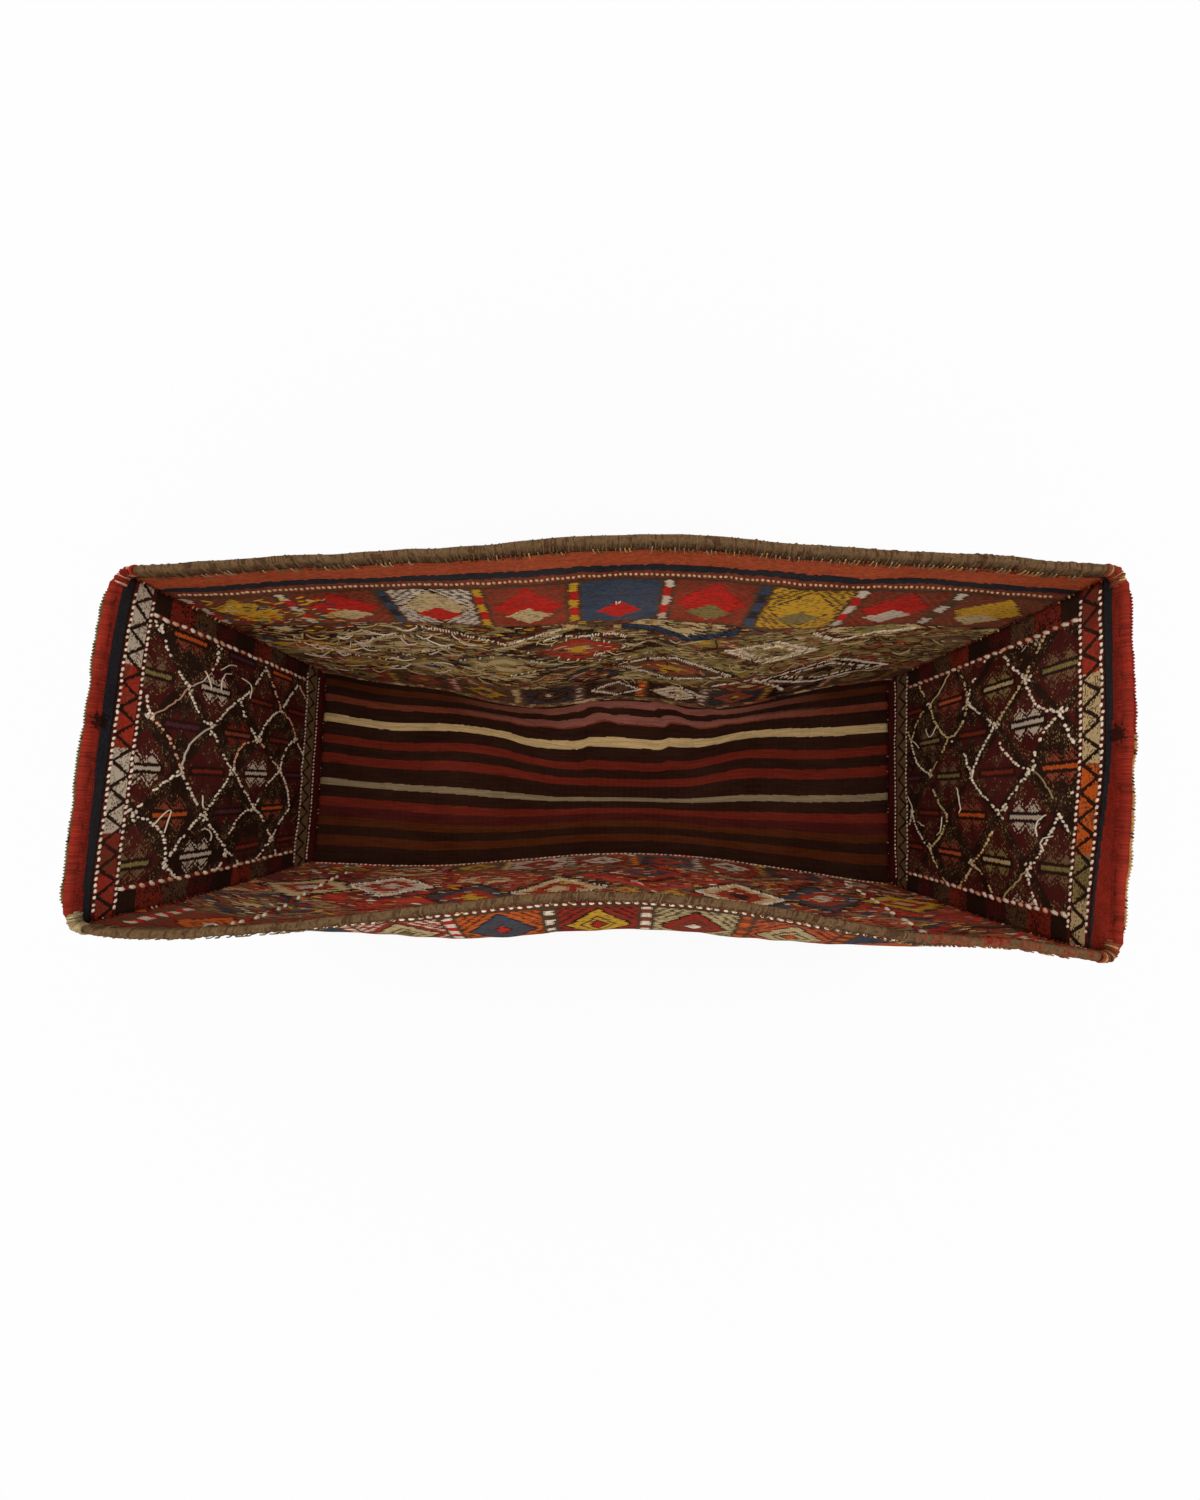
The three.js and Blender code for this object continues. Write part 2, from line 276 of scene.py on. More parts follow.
def slump(x, y, z):
    """Takes places in the straight box to points of the slumped bag."""
    a = x / HALF_LENGTH
    b = y / HALF_WIDTH
    h = z / BOX_HEIGHT
    back = np.clip((b + 1) / 2, 0, 1) ** 1.3
    front = np.clip((1 - b) / 2, 0, 1) ** 1.3
    low = np.maximum(1 - h, 0)
    corner = CORNER_ROUND * np.minimum(np.abs(a), 1) ** 40 * np.minimum(np.abs(b), 1) ** 14

    x = a * (HALF_LENGTH + END_FLARE * (h - 0.5))
    x += b * (BASE_SHEAR + RIM_SHEAR * h)
    x += a**3 * hill(b, 0.1, 1.3) * (END_RIM_BOW * h**2 - END_BELLY * np.sin(np.pi * h))
    x -= np.sign(a) * corner

    y = b * (HALF_WIDTH + SIDE_FLARE * (h - 0.5))
    y += a * (SLANT + SLANT_EASE * h) + a * b * FRONT_SLANT
    y += BASE_FORWARD + RIM_BACK * h
    y -= np.sign(b) * corner

    lobe = np.cos(2 * np.pi * (a - BACK_LOBE_PEAK) / BACK_LOBE_PITCH)
    foot_slide = (BACK_FOOT_SLIDE + BACK_FOOT_LOBE * lobe) * mesa(a, 1.02)
    rim_bow = BACK_RIM_BOW * hill(a, 0.1, 1.3) + BACK_RIM_SWELL * hill(a, 0.04, 0.4)
    y += back * (rim_bow * np.maximum(h, 0) ** 2.2 - foot_slide * low**2)

    fold_along = FRONT_RIM_FOLD * hill(a, 0.05, 1) + FRONT_RIM_DENT * hill(a, 0.82, 0.21)
    rim_fold = fold_along * smooth(h, 0.7, 1)
    belly_along = mesa(a, 1.1) - FRONT_BELLY_DIP * hill(a, 0.19, 0.6)
    belly = FRONT_BELLY * belly_along * hill(h, FRONT_BELLY_LEVEL, 0.5)
    front_slide = FRONT_FOOT_SLIDE * hill(a, 0.18, 0.85) * low**2
    y += front * (rim_fold - belly + front_slide)
    y += WALL_RIPPLE * np.sin(9.5 * a + 0.6) * np.sin(np.pi * h) * np.abs(b) ** 3

    sway = hill(a, 0.08, 0.42) - 0.5 * hill(a, -0.45, 0.3) - 0.4 * hill(a, 0.5, 0.22)
    y -= BASE_SWAY * sway * hill(b, 0.3, 0.9) * hill(h, 0, 0.25)

    rim_sag = FRONT_RIM_SAG * hill(a, 0.03, 0.95) * front + BACK_RIM_SAG * hill(a, 0.1, 1.2) * back
    ripple = RIM_RIPPLE * np.sin(17 * a + 5 * b) * np.abs(a * b)
    ruck = BASE_RUCK * hill(b, BASE_RUCK_PLACE, BASE_RUCK_WIDTH) * mesa(a, 0.9) * (1 - 0.5 * lobe)
    z = z - (rim_sag + ripple) * h**3 + ruck * hill(h, 0, 0.2)
    return np.stack([x, y, z], axis=-1)


def soft_noise(u, v, size, seed):
    """Smooth noise from -1 to 1 over a flat place, in bumps of about the given size."""
    table = np.random.default_rng(seed).uniform(-1, 1, (NOISE_CELLS, NOISE_CELLS))
    x = np.asarray(u) / size
    y = np.asarray(v) / size
    column = np.floor(x).astype(int)
    row = np.floor(y).astype(int)
    right = smooth(x - column, 0, 1)
    up = smooth(y - row, 0, 1)

    def level(number):
        line = number % NOISE_CELLS
        following = (column + 1) % NOISE_CELLS
        return table[line, column % NOISE_CELLS] * (1 - right) + table[line, following] * right

    return level(row) * (1 - up) + level(row + 1) * up


def strip_section(run, depth):
    """Place across the bag and height of the strip, by its run from the front rim and its depth."""
    radius = FOLD_RADIUS - depth
    front_turn = (run - WALL_RUN) / FOLD_RADIUS
    base_run = run - WALL_RUN - ARC_RUN
    back_turn = (base_run - BASE_RUN) / FOLD_RADIUS
    back_rise = base_run - BASE_RUN - ARC_RUN
    inset = HALF_WIDTH - FOLD_RADIUS
    zones = [front_turn < 0, base_run < 0, base_run < BASE_RUN, back_rise < 0]
    y = np.select(
        zones,
        [depth - HALF_WIDTH, -inset - radius * np.cos(front_turn), base_run - inset,
         inset + radius * np.sin(back_turn)],
        HALF_WIDTH - depth,
    )
    z = np.select(
        zones,
        [CLOTH_TOP - run, FOLD_RADIUS - radius * np.sin(front_turn), depth + 0 * run,
         FOLD_RADIUS - radius * np.cos(back_turn)],
        FOLD_RADIUS + back_rise,
    )
    return y, z


def kinks(u):
    """How far the sharp little folds shift the base cloth, by the place along the bag."""
    shift = KINK_START - KINK_DRIFT * np.clip(u - BASE_KINKS[1][0], 0, KINK_REACH)
    for place, step, width in BASE_KINKS:
        shift = shift + step * (0.5 + 0.5 * np.tanh((u - place) / width))
    return shift


def strip_point(u, run, depth):
    """A point of the strip: along the bag, along its run from the front rim, and in from its outer face."""
    base_share = smooth(run, *BASE_TURN) * smooth(STRIP_RUN - run, *BASE_TURN)
    seam_share = hill(np.abs(u), STRIP_END, 0.035)
    soft = soft_noise(u, run, 0.055, 3) + 0.5 * soft_noise(u, run, 0.021, 4)
    pucker = seam_share * np.cos(run * 2 * np.pi / PUCKER_PITCH)
    rim_share = smooth(np.minimum(run, STRIP_RUN - run), 0.0, 0.05)
    height = bpy.context.scene.cloth_sizes.rumple * rim_share
    lift = height * (soft * (1 - base_share) + np.abs(soft) * 0.6 * base_share + 0.5 * pucker)
    y, z = strip_section(run, depth + lift * (1 - base_share))
    z = z + np.maximum(lift, 0) * base_share
    b = y / HALF_WIDTH
    y = y + kinks(u) * hill(b, 0.55, 0.62) * base_share
    ridges = sum(hill(u, place - 0.06 * (b - 0.5), 0.016) for place, _, _ in BASE_KINKS[1:])
    z = z + KINK_RIDGE * ridges * hill(b, 0.6, 0.5) * base_share
    return slump(u + 0 * run, y, z)


def hem_lump(side, w):
    """How thick the folded hem is along its length, as a share of its usual thickness."""
    return 1 + 0.42 * soft_noise(w + side, 0 * w, 0.026, 8) + 0.2 * soft_noise(w + side, 0 * w, 0.011, 9)


def end_point(side, w, t, depth):
    """A point of an end panel: across it and down from its top, and in from its outer face.

    Across is counted from left to right as seen from inside."""
    inner_share = smooth(t, 0.03, 0.08) * smooth(0.42 - t, 0.0, 0.04)
    soft = soft_noise(w + side, t, 0.05, 5) + 0.4 * soft_noise(w + side, t, 0.018, 6)
    lift = bpy.context.scene.cloth_sizes.rumple * soft * inner_share
    return slump(side * (HALF_LENGTH - depth - lift), -side * w, BOX_HEIGHT - t)


# Meshes


def linked(name, mesh):
    """A new object for a mesh, in the scene."""
    piece = bpy.data.objects.new(name, mesh)
    bpy.context.scene.collection.objects.link(piece)
    return piece


def quads(grid):
    """The four-sided faces between the points of a grid of point numbers."""
    return np.stack([grid[:-1, :-1], grid[:-1, 1:], grid[1:, 1:], grid[1:, :-1]], axis=-1).reshape(-1, 4)


def closed_sheet(name, inner, outer, flat, materials, inside, outside):
    """A closed sheet of cloth between two grids of points, with its flat place as its UV map.

    The faces come in this order: inner side, outer side, then the edges. Both sides have the number of a
    material for every face, and the edges take the second material."""
    rows, columns = inner.shape[:2]
    count = rows * columns
    grid = np.arange(count).reshape(rows, columns)
    border = np.concatenate([grid[0, :-1], grid[:-1, -1], grid[-1, :0:-1], grid[:0:-1, 0]])
    following = np.roll(border, -1)
    edges = np.stack([following, border, border + count, following + count], axis=-1)
    faces = np.concatenate([quads(grid), quads(grid + count)[:, ::-1], edges])
    points = np.concatenate([inner.reshape(-1, 3), outer.reshape(-1, 3)])
    a, b, c, d = np.moveaxis(points[faces], 1, 0)
    if np.sum(a * (np.cross(b, c) + np.cross(c, d))) < 0:
        faces = faces[:, ::-1]
    mesh = bpy.data.meshes.new(name)
    mesh.from_pydata(points.tolist(), [], faces.tolist())
    uv = np.concatenate([flat.reshape(-1, 2)] * 2)[faces.ravel()]
    mesh.uv_layers.new(name="Flat").data.foreach_set("uv", uv.astype(np.float32).ravel())
    mesh.polygons.foreach_set("use_smooth", np.ones(len(faces), dtype=bool))
    for material in materials:
        mesh.materials.append(material)
    numbers = np.full(len(faces), 1)
    numbers[: len(inside)] = inside
    numbers[len(inside): 2 * len(inside)] = outside
    mesh.polygons.foreach_set("material_index", numbers)
    return linked(name, mesh)


def bend(mesh, place):
    """Moves the points of a closed mesh from their straight places into the bag; its faces stay outward."""
    points = np.empty(len(mesh.vertices) * 3)
    mesh.vertices.foreach_get("co", points)
    points = place(*points.reshape(-1, 3).T)
    mesh.vertices.foreach_set("co", points.ravel())
    mesh.calc_loop_triangles()
    corners = np.empty(len(mesh.loop_triangles) * 3, dtype=np.int32)
    mesh.loop_triangles.foreach_get("vertices", corners)
    a, b, c = np.moveaxis(points[corners.reshape(-1, 3)] - points.mean(axis=0), 1, 0)
    if np.einsum("ij,ij->", a, np.cross(b, c)) < 0:
        mesh.flip_normals()
    mesh.update()


def lofted(stations, section):
    """Points and faces of a straight closed tube along X, with one cross section at all its stations."""
    points = [(x, y, z) for x in stations for y, z in section]
    grid = np.arange(len(points)).reshape(-1, len(section))
    around = np.concatenate([grid, grid[:, :1]], axis=1)
    return points, [*quads(around).tolist(), grid[0][::-1].tolist(), grid[-1].tolist()]


def round_section(radius, sides):
    """A round cross section."""
    turn = np.linspace(0, 2 * np.pi, sides, endpoint=False)
    return list(zip(radius * np.cos(turn), radius * np.sin(turn)))


# Node trees


class Wire:
    """A value in a node tree. Arithmetic on it adds Math nodes."""

    def __init__(self, tree, socket):
        self.tree = tree
        self.socket = socket

    def operate(self, operation, *others):
        """A Math node on this value and others."""
        values = dict(enumerate((self, *others)))
        return Nodes(self.tree).add("ShaderNodeMath", values, operation=operation)

    __add__ = partialmethod(operate, "ADD")
    __sub__ = partialmethod(operate, "SUBTRACT")
    __mul__ = partialmethod(operate, "MULTIPLY")
    __truediv__ = partialmethod(operate, "DIVIDE")
    __lt__ = partialmethod(operate, "LESS_THAN")
    __gt__ = partialmethod(operate, "GREATER_THAN")
    __abs__ = partialmethod(operate, "ABSOLUTE")
    floor = partialmethod(operate, "FLOOR")
    fract = partialmethod(operate, "FRACT")
    most = partialmethod(operate, "MAXIMUM")
    least = partialmethod(operate, "MINIMUM")

    def __rtruediv__(self, other):
        return Nodes(self.tree).add("ShaderNodeMath", {0: other, 1: self}, operation="DIVIDE")

    def within(self, low, high):
        """1 between two values, else 0."""
        return (self > low) * (self < high)

    def hump(self, centre, half_width):
        """A soft hump: 1 at the centre, 0 at the half width and beyond."""
        share = abs(self - centre) / half_width
        return (share * share * -1.0 + 1.0).most(0.0)


def plug(tree, socket, value):
    """Links a wire to a socket, or sets the socket's own value. A colour may be the name of a wool."""
    if isinstance(value, Wire):
        tree.links.new(value.socket, socket)
    elif socket.type == "RGBA":
        socket.default_value = (*dyed(value), 1.0)
    else:
        socket.default_value = value


def socket_of(sockets, label):
    """A socket by its number, or the first one in use by its name."""
    if isinstance(label, int):
        return sockets[label]
    return next(socket for socket in sockets if socket.enabled and socket.name == label)


class Nodes:
    """Writes the nodes of one tree."""

    def __init__(self, tree):
        self.tree = tree

    def node(self, kind, values=None, **settings):
        """A new node with its settings, and with its inputs set or linked; gives its outputs by name."""
        node = self.tree.nodes.new(kind)
        for key, value in settings.items():
            setattr(node, key, value)
        for label, value in (values or {}).items():
            plug(self.tree, socket_of(node.inputs, label), value)
        return {socket.name: Wire(self.tree, socket) for socket in node.outputs if socket.enabled}

    def add(self, kind, values=None, **settings):
        """A new node of which the first output is used."""
        return next(iter(self.node(kind, values, **settings).values()))

    def vector(self, x, y, z=0.0):
        """A vector of three values."""
        return self.add("ShaderNodeCombineXYZ", {"X": x, "Y": y, "Z": z})


def new_group(name, kind, inputs):
    """A new node group with named inputs; gives its tree, and its inputs as wires."""
    tree = bpy.data.node_groups.new(name, kind)
    for label, socket_kind in inputs.items():
        tree.interface.new_socket(label, in_out="INPUT", socket_type=f"NodeSocket{socket_kind}")
    source = tree.nodes.new("NodeGroupInput")
    return tree, {socket.name: Wire(tree, socket) for socket in source.outputs if socket.name}


def end_group(tree, made):
    """Ends a node group in named outputs."""
    kinds = {"Geometry": "Geometry", "Spot": "Vector", "Colour": "Color"}
    for label in made:
        socket_kind = kinds.get(label, "Float")
        tree.interface.new_socket(label, in_out="OUTPUT", socket_type=f"NodeSocket{socket_kind}")
    sink = tree.nodes.new("NodeGroupOutput")
    for label, value in made.items():
        plug(tree, sink.inputs[label], value)


# Geometry node trees


class Growth(Nodes):
    """Writes one geometry node tree with named inputs."""

    def __init__(self, name, inputs):
        sockets = {"Geometry": "Geometry", **inputs, "Finish": "Material"}
        tree, self.given = new_group(name, "GeometryNodeTree", sockets)
        super().__init__(tree)

    def random(self, low, high):
        """A random value or vector for every point."""
        kind = "FLOAT_VECTOR" if isinstance(low, tuple) else "FLOAT"
        values = {"Min": low, "Max": high, "Seed": self.given["Seed"]}
        return self.add("FunctionNodeRandomValue", values, data_type=kind)

    def stored(self, name):
        """A value that the points carry."""
        return self.add("GeometryNodeInputNamedAttribute", {"Name": name}, data_type="FLOAT")

    def join(self, *parts):
        """All parts as one geometry."""
        joined = self.add("GeometryNodeJoinGeometry")
        for part in parts:
            plug(self.tree, joined.socket.node.inputs[0], part)
        return joined

    def finish(self, geometry):
        """Ends the tree in real, smooth geometry with its material."""
        real = self.add("GeometryNodeRealizeInstances", {"Geometry": geometry})
        soft = self.add("GeometryNodeSetShadeSmooth", {"Geometry": real, "Shade Smooth": True})
        values = {"Geometry": soft, "Material": self.given["Finish"]}
        end_group(self.tree, {"Geometry": self.add("GeometryNodeSetMaterial", values)})
        return self.tree


def overcast_tree():
    """Rings of yarn in a row along X, round the core that is given as geometry."""
    t = Growth("Overcast wraps", {
        "Count": "Int", "Pitch": "Float", "Start": "Vector", "Half width": "Float", "Half height": "Float",
        "Yarn radius": "Float", "Lean": "Float", "Play": "Float", "Seed": "Int",
    })
    line = t.add("GeometryNodeMeshLine", {
        "Count": t.given["Count"], "Start Location": t.given["Start"],
        "Offset": t.vector(t.given["Pitch"], 0.0),
    }, mode="OFFSET")
    nudge = t.add("ShaderNodeVectorMath", {
        "Vector": t.random((-1.0, -0.6, -0.6), (1.0, 0.6, 0.6)), "Scale": t.given["Play"],
    }, operation="SCALE")
    places = t.add("GeometryNodeSetPosition", {"Geometry": line, "Offset": nudge})
    circle = t.add("GeometryNodeCurvePrimitiveCircle", {"Resolution": 12, "Radius": 1.0})
    oval = t.add("GeometryNodeTransform", {
        "Geometry": circle, "Scale": t.vector(t.given["Half height"], t.given["Half width"], 1.0),
        "Rotation": (0.0, math.pi / 2, 0.0),
    })
    leaning = t.add("GeometryNodeTransform", {
        "Geometry": oval, "Rotation": t.vector(0.0, 0.0, t.given["Lean"]),
    })
    yarn = t.add("GeometryNodeCurvePrimitiveCircle", {"Resolution": 5, "Radius": t.given["Yarn radius"]})
    wrap = t.add("GeometryNodeCurveToMesh", {"Curve": leaning, "Profile Curve": yarn})
    wraps = t.add("GeometryNodeInstanceOnPoints", {
        "Points": places, "Instance": wrap,
        "Rotation": t.random((-0.05, -0.08, -0.12), (0.05, 0.08, 0.12)), "Scale": t.random(0.94, 1.08),
    })
    tinted = t.add("GeometryNodeStoreNamedAttribute", {
        "Geometry": wraps, "Name": "tint", "Value": t.random(0.0, 1.0),
    }, data_type="FLOAT", domain="INSTANCE")
    return t.finish(t.join(t.given["Geometry"], tinted))


def laid_tree():
    """A short length of yarn laid on the cloth at every given point."""
    t = Growth("Laid yarns", {"Rise": "Float"})
    ball = t.add("GeometryNodeMeshUVSphere", {"Segments": 5, "Rings": 4, "Radius": 1.0})
    yarns = t.add("GeometryNodeInstanceOnPoints", {
        "Points": t.given["Geometry"], "Instance": ball, "Rotation": t.vector(0.0, 0.0, t.stored("turn")),
        "Scale": t.vector(t.stored("reach"), t.stored("thick"), t.stored("thick")),
    })
    return t.finish(t.add("GeometryNodeTranslateInstances", {
        "Instances": yarns, "Translation": t.vector(0.0, 0.0, t.given["Rise"]), "Local Space": False,
    }))


def cord_tree():
    """Yarn along every line of points that is given."""
    t = Growth("Cords", {})
    line = t.add("GeometryNodeMeshToCurve", {"Mesh": t.given["Geometry"]})
    yarn = t.add("GeometryNodeCurvePrimitiveCircle", {"Resolution": 5, "Radius": 1.0})
    return t.finish(t.add("GeometryNodeCurveToMesh", {
        "Curve": line, "Profile Curve": yarn, "Scale": t.stored("thick"), "Fill Caps": True,
    }))


YARN_TREES = {"Overcast wraps": overcast_tree, "Laid yarns": laid_tree, "Cords": cord_tree}


def grown(name, points, edges, faces, stored, tree_name, values, place):
    """A piece that a geometry node tree makes from points with stored values, bent into the bag."""
    mesh = bpy.data.meshes.new(f"{name} points")
    mesh.from_pydata([tuple(point) for point in points], edges, faces)
    for label, numbers in stored.items():
        if numbers.ndim == 1:
            mesh.attributes.new(label, "FLOAT", "POINT").data.foreach_set("value", numbers)
        else:
            rgba = np.column_stack([numbers, np.ones(len(numbers))])
            mesh.attributes.new(label, "FLOAT_COLOR", "POINT").data.foreach_set("color", rgba.ravel())
    tree = bpy.data.node_groups.get(tree_name) or YARN_TREES[tree_name]()
    piece = linked(name, mesh)
    modifier = piece.modifiers.new(tree.name, "NODES")
    modifier.node_group = tree
    for item in tree.interface.items_tree:
        if item.in_out == "INPUT" and item.name in values:
            modifier[item.identifier] = values[item.name]
    depsgraph = bpy.context.evaluated_depsgraph_get()
    plain = bpy.data.meshes.new_from_object(piece.evaluated_get(depsgraph))
    piece.modifiers.clear()
    piece.data = plain
    plain.name = name
    bpy.data.meshes.remove(mesh)
    bend(plain, place)
    return piece


def settle(piece, slot, *nodes):
    """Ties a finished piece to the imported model."""
    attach(piece, "root")
    if nodes:
        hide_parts(*nodes)


# Shader trees


class Dye(Nodes):
    """Writes the nodes of one shader tree."""

    def split(self, vector):
        """The three values of a vector."""
        return tuple(self.node("ShaderNodeSeparateXYZ", {"Vector": vector}).values())

    def noise(self, place, scale, detail=2.0, roughness=0.5):
        """Soft noise from 0 to 1."""
        values = {"Vector": place, "Scale": scale, "Detail": detail, "Roughness": roughness}
        return self.node("ShaderNodeTexNoise", values)["Fac"]

    def speckle(self, place):
        """Three unrelated random values for every whole-number place."""
        spots = self.node("ShaderNodeTexWhiteNoise", {"Vector": place}, noise_dimensions="3D")
        return tuple(self.node("ShaderNodeSeparateColor", {"Color": spots["Color"]}).values())

    def bands(self, place, stops):
        """Plain bands of colour; each stop is where a band starts, from 0 to 1, and its colour."""
        banded = self.node("ShaderNodeValToRGB", {"Fac": place})["Color"]
        ramp = banded.socket.node.color_ramp
        ramp.interpolation = "CONSTANT"
        while len(ramp.elements) < len(stops):
            ramp.elements.new(1.0)
        for element, (start, colour) in zip(ramp.elements, stops):
            element.position = start
            element.color = (*dyed(colour), 1.0)
        return banded

    def pick(self, share, colours):
        """One of some colours, by a value from 0 to 1."""
        return self.bands(share, [(i / len(colours), colour) for i, colour in enumerate(colours)])

    def mix(self, mask, below, above):
        """One colour laid over another as far as a mask lets it."""
        return self.add("ShaderNodeMix", {"Factor": mask, "A": below, "B": above}, data_type="RGBA")

    def layers(self, colour, *layers):
        """Colours laid over a colour one after another, each as far as its mask lets it."""
        for mask, above in layers:
            colour = self.mix(mask, colour, above)
        return colour

    def shade(self, colour, amount):
        """A colour made lighter or darker by a factor."""
        return self.add("ShaderNodeVectorMath", {"Vector": colour, "Scale": amount}, operation="SCALE")

    def call(self, name, values):
        """A shared group, written on first use, with its inputs set; gives its outputs by name."""
        group = bpy.data.node_groups.get(name) or shader_group(name)
        return self.node("ShaderNodeGroup", values, node_tree=group)

    def cells(self, flat, float_length, width, mess, seed):
        """The short yarns that the cloth is woven of."""
        return self.call("Yarn cells", {
            "Flat": flat, "Length": float_length, "Width": width, "Mess": mess, "Seed": seed,
        })

    def finish(self, colour, height, strength=0.6, distance=0.0006):
        """Ends a material in matt wool with a raised surface."""
        raised = self.add("ShaderNodeBump", {"Strength": strength, "Distance": distance, "Height": height})
        shader = self.add("ShaderNodeBsdfPrincipled", {
            "Base Color": colour, "Roughness": 1.0, "Specular IOR Level": 0.03, "Normal": raised,
        })
        self.node("ShaderNodeOutputMaterial", {"Surface": shader})

    def finish_cloth(self, colour, flat, cells, wear, lift=1.0, distance=0.0009):
        """Ends a material in worn woven wool, lighter by the lift, which paints light on the wool inside the
        bag.
        """
        worn = self.call("Wool wear", {
            "Colour": colour, "Flat": flat, "Tint": cells["Tint"], "Yarn": cells["Height"], "Wear": wear,
            "Lift": lift,
        })
        self.finish(worn["Colour"], worn["Height"], 0.9, distance)


def new_material(name):
    """A material without nodes, and the writer of its nodes."""
    material = bpy.data.materials.new(name)
    material.use_nodes = True
    material.node_tree.nodes.clear()
    return material, Dye(material.node_tree)


def flat_place(dye):
    """The place on the flat cloth."""
    return dye.add("ShaderNodeUVMap", uv_map="Flat")


def write_yarn_cells(dye, given):
    """Splits the cloth into short yarns in brick rows, each a little out of place."""
    u, t, _ = dye.split(given["Flat"])
    line = t / given["Width"]
    row = line.floor()
    shift = (row * 0.5).fract()
    place = u / given["Length"] + shift
    column = place.floor()
    first, second, third = dye.speckle(dye.vector(column, row, given["Seed"]))
    spot_u = (column + 0.5 - shift) * given["Length"] + (first - 0.5) * given["Mess"]
    spot_t = (row + 0.5) * given["Width"] + (second - 0.5) * given["Mess"] * 0.5
    across = line.fract() - 0.5
    along = place.fract() - 0.5
    round_across = (across * across * -4.0) + 1.0
    round_along = (along * along * along * along * -16.0) + 1.0
    return {"Spot": dye.vector(spot_u, spot_t), "Tint": third, "Height": round_across * round_along}


def write_border_boxes(dye, given):
    """A row of boxes, each with a lozenge, and a narrow divider between every two."""
    pitch = given["Pitch"]
    height = given["Height"]
    u, t, _ = dye.split(given["Spot"])
    place = (u - given["Shift"]) / pitch + 0.5
    x = abs((place.fract() - 0.5) * pitch)
    y = t - given["Start"] - height * 0.5
    diamond = x / (pitch * 0.37) + abs(y) / (height * 0.45)
    divider = pitch * 0.5 - given["Divider"]
    return {
        "Band": abs(y) < height * 0.5,
        "Box": place.floor(),
        "Divider number": (place + 0.5).floor(),
        "Diamond": diamond,
        "Low diamond": x / (pitch * 0.26) + abs(y - height * 0.22) / (height * 0.19),
        "Divider": x > divider,
        "Divider line": x > divider - 0.0045,
        "Check": ((t - given["Start"]) / given["Check height"]).fract() > 0.5,
        "Hatch": (diamond / 0.27).fract() > 0.5,
        "Across": y,
    }


def write_lozenge_field(dye, given):
    """A lattice of lozenges: the number of each, and how far a place is from its middle."""
    u, t, _ = dye.split(given["Spot"])
    rise = (u - given["Shift U"]) / given["Width"]
    fall = (t - given["Shift T"]) / given["Height"]
    p = rise + fall + 0.5
    q = rise - fall + 0.5
    x = p.fract() - 0.5
    y = q.fract() - 0.5
    p = p.floor()
    q = q.floor()
    distance = abs(x).most(abs(y)) * 2.0
    ring = distance * 5.5
    _, mood, _ = dye.speckle(dye.vector(p, q, given["Seed"]))
    tone, _, _ = dye.speckle(dye.vector(p, q, ring.floor() + given["Seed"]))
    return {
        "Mood": mood,
        "Row": p - q,
        "Odd column": (((p + q) * 0.5).floor() * 0.5).fract() * 2.0,
        "Distance": distance,
        "Ring tone": tone,
        "Ring edge": ring.fract() > 0.78,
        "X": (x + y) * given["Width"] * 0.5,
        "Y": (x - y) * given["Height"] * 0.5,
    }


# Rings of a lozenge from the outside in, and how far out each begins
RINGS = {"Ring 1": 1.0, "Ring 2": 0.84, "Ring 3": 0.54, "Ring 4": 0.24}


def write_lozenge(dye, given):
    """One lozenge of four nested rings over the colour below."""
    u, t, _ = dye.split(given["Spot"])
    distance = abs(u - given["U"]) / given["Half U"] + abs(t - given["T"]) / given["Half T"]
    rings = [(distance < limit, given[ring]) for ring, limit in RINGS.items()]
    return {"Colour": dye.layers(given["Below"], *rings)}


# The colour of dust, and the brightest that any channel of a wool gets when it is lifted by the painted light
DUST = (0.16, 0.11, 0.075)
PALEST = 0.86


def write_wool_wear_and_light(dye, given):
    """Uneven dye and dust of old wool, a lift that paints light on it where it lies in shade, and its fuzzy
    height.
    """
    u, t, _ = dye.split(given["Flat"])
    broad = dye.noise(given["Flat"], 9.0, 3.0)
    streak = dye.noise(dye.vector(u * 14.0, t * 160.0), 1.0)
    fuzz = dye.noise(given["Flat"], 900.0)
    level = (broad - 0.5) * 0.55 + (streak - 0.5) * 0.45 + (given["Tint"] - 0.5) * 0.42 + 1.0
    dusty = dye.mix((broad - 0.35) * given["Wear"], dye.shade(given["Colour"], level), DUST)
    red, green, blue = dye.split(dusty)
    # The lift is painted light: it makes the wool lighter where it lies in shade inside the bag
    room = PALEST / red.most(green).most(blue)
    lifted = dye.shade(dusty, room.least(given["Lift"]))
    return {"Colour": lifted, "Height": fuzz * 0.35 + given["Yarn"]}


# The shared shader groups: what writes each, its inputs that are places or colours, and its plain numbers
SHADER_GROUPS = {
    "Yarn cells": (write_yarn_cells, {"Flat": "Vector"}, ("Length", "Width", "Mess", "Seed")),
    "Border boxes": (
        write_border_boxes, {"Spot": "Vector"},
        ("Start", "Height", "Pitch", "Shift", "Divider", "Check height"),
    ),
    "Lozenge field": (
        write_lozenge_field, {"Spot": "Vector"}, ("Width", "Height", "Shift U", "Shift T", "Seed"),
    ),
    "Lozenge": (
        write_lozenge, {"Spot": "Vector", "Below": "Color", **dict.fromkeys(RINGS, "Color")},
        ("U", "T", "Half U", "Half T"),
    ),
    "Wool wear": (
        write_wool_wear_and_light, {"Colour": "Color", "Flat": "Vector"}, ("Tint", "Yarn", "Wear", "Lift"),
    ),
}


def shader_group(name):
    """Writes one of the shared shader groups."""
    write, sockets, numbers = SHADER_GROUPS[name]
    tree, given = new_group(name, "ShaderNodeTree", {**sockets, **dict.fromkeys(numbers, "Float")})
    end_group(tree, write(Dye(tree), given))
    return tree


# The cloth of the long walls and the base

# Wools of the boxes inside the back wall, left to right: ground, upper half, lower half, corners
BACK_BOXES = (
    "brick gold gold umber",
    "brick scarlet sand claret",
    "ivory sand scarlet soot",
    "brick scarlet sand madder",
    "indigo indigo scarlet indigo",
    "brick scarlet olive madder",
    "gold gold olive umber",
    "brick scarlet ivory claret",
    "brick gold sand umber",
)
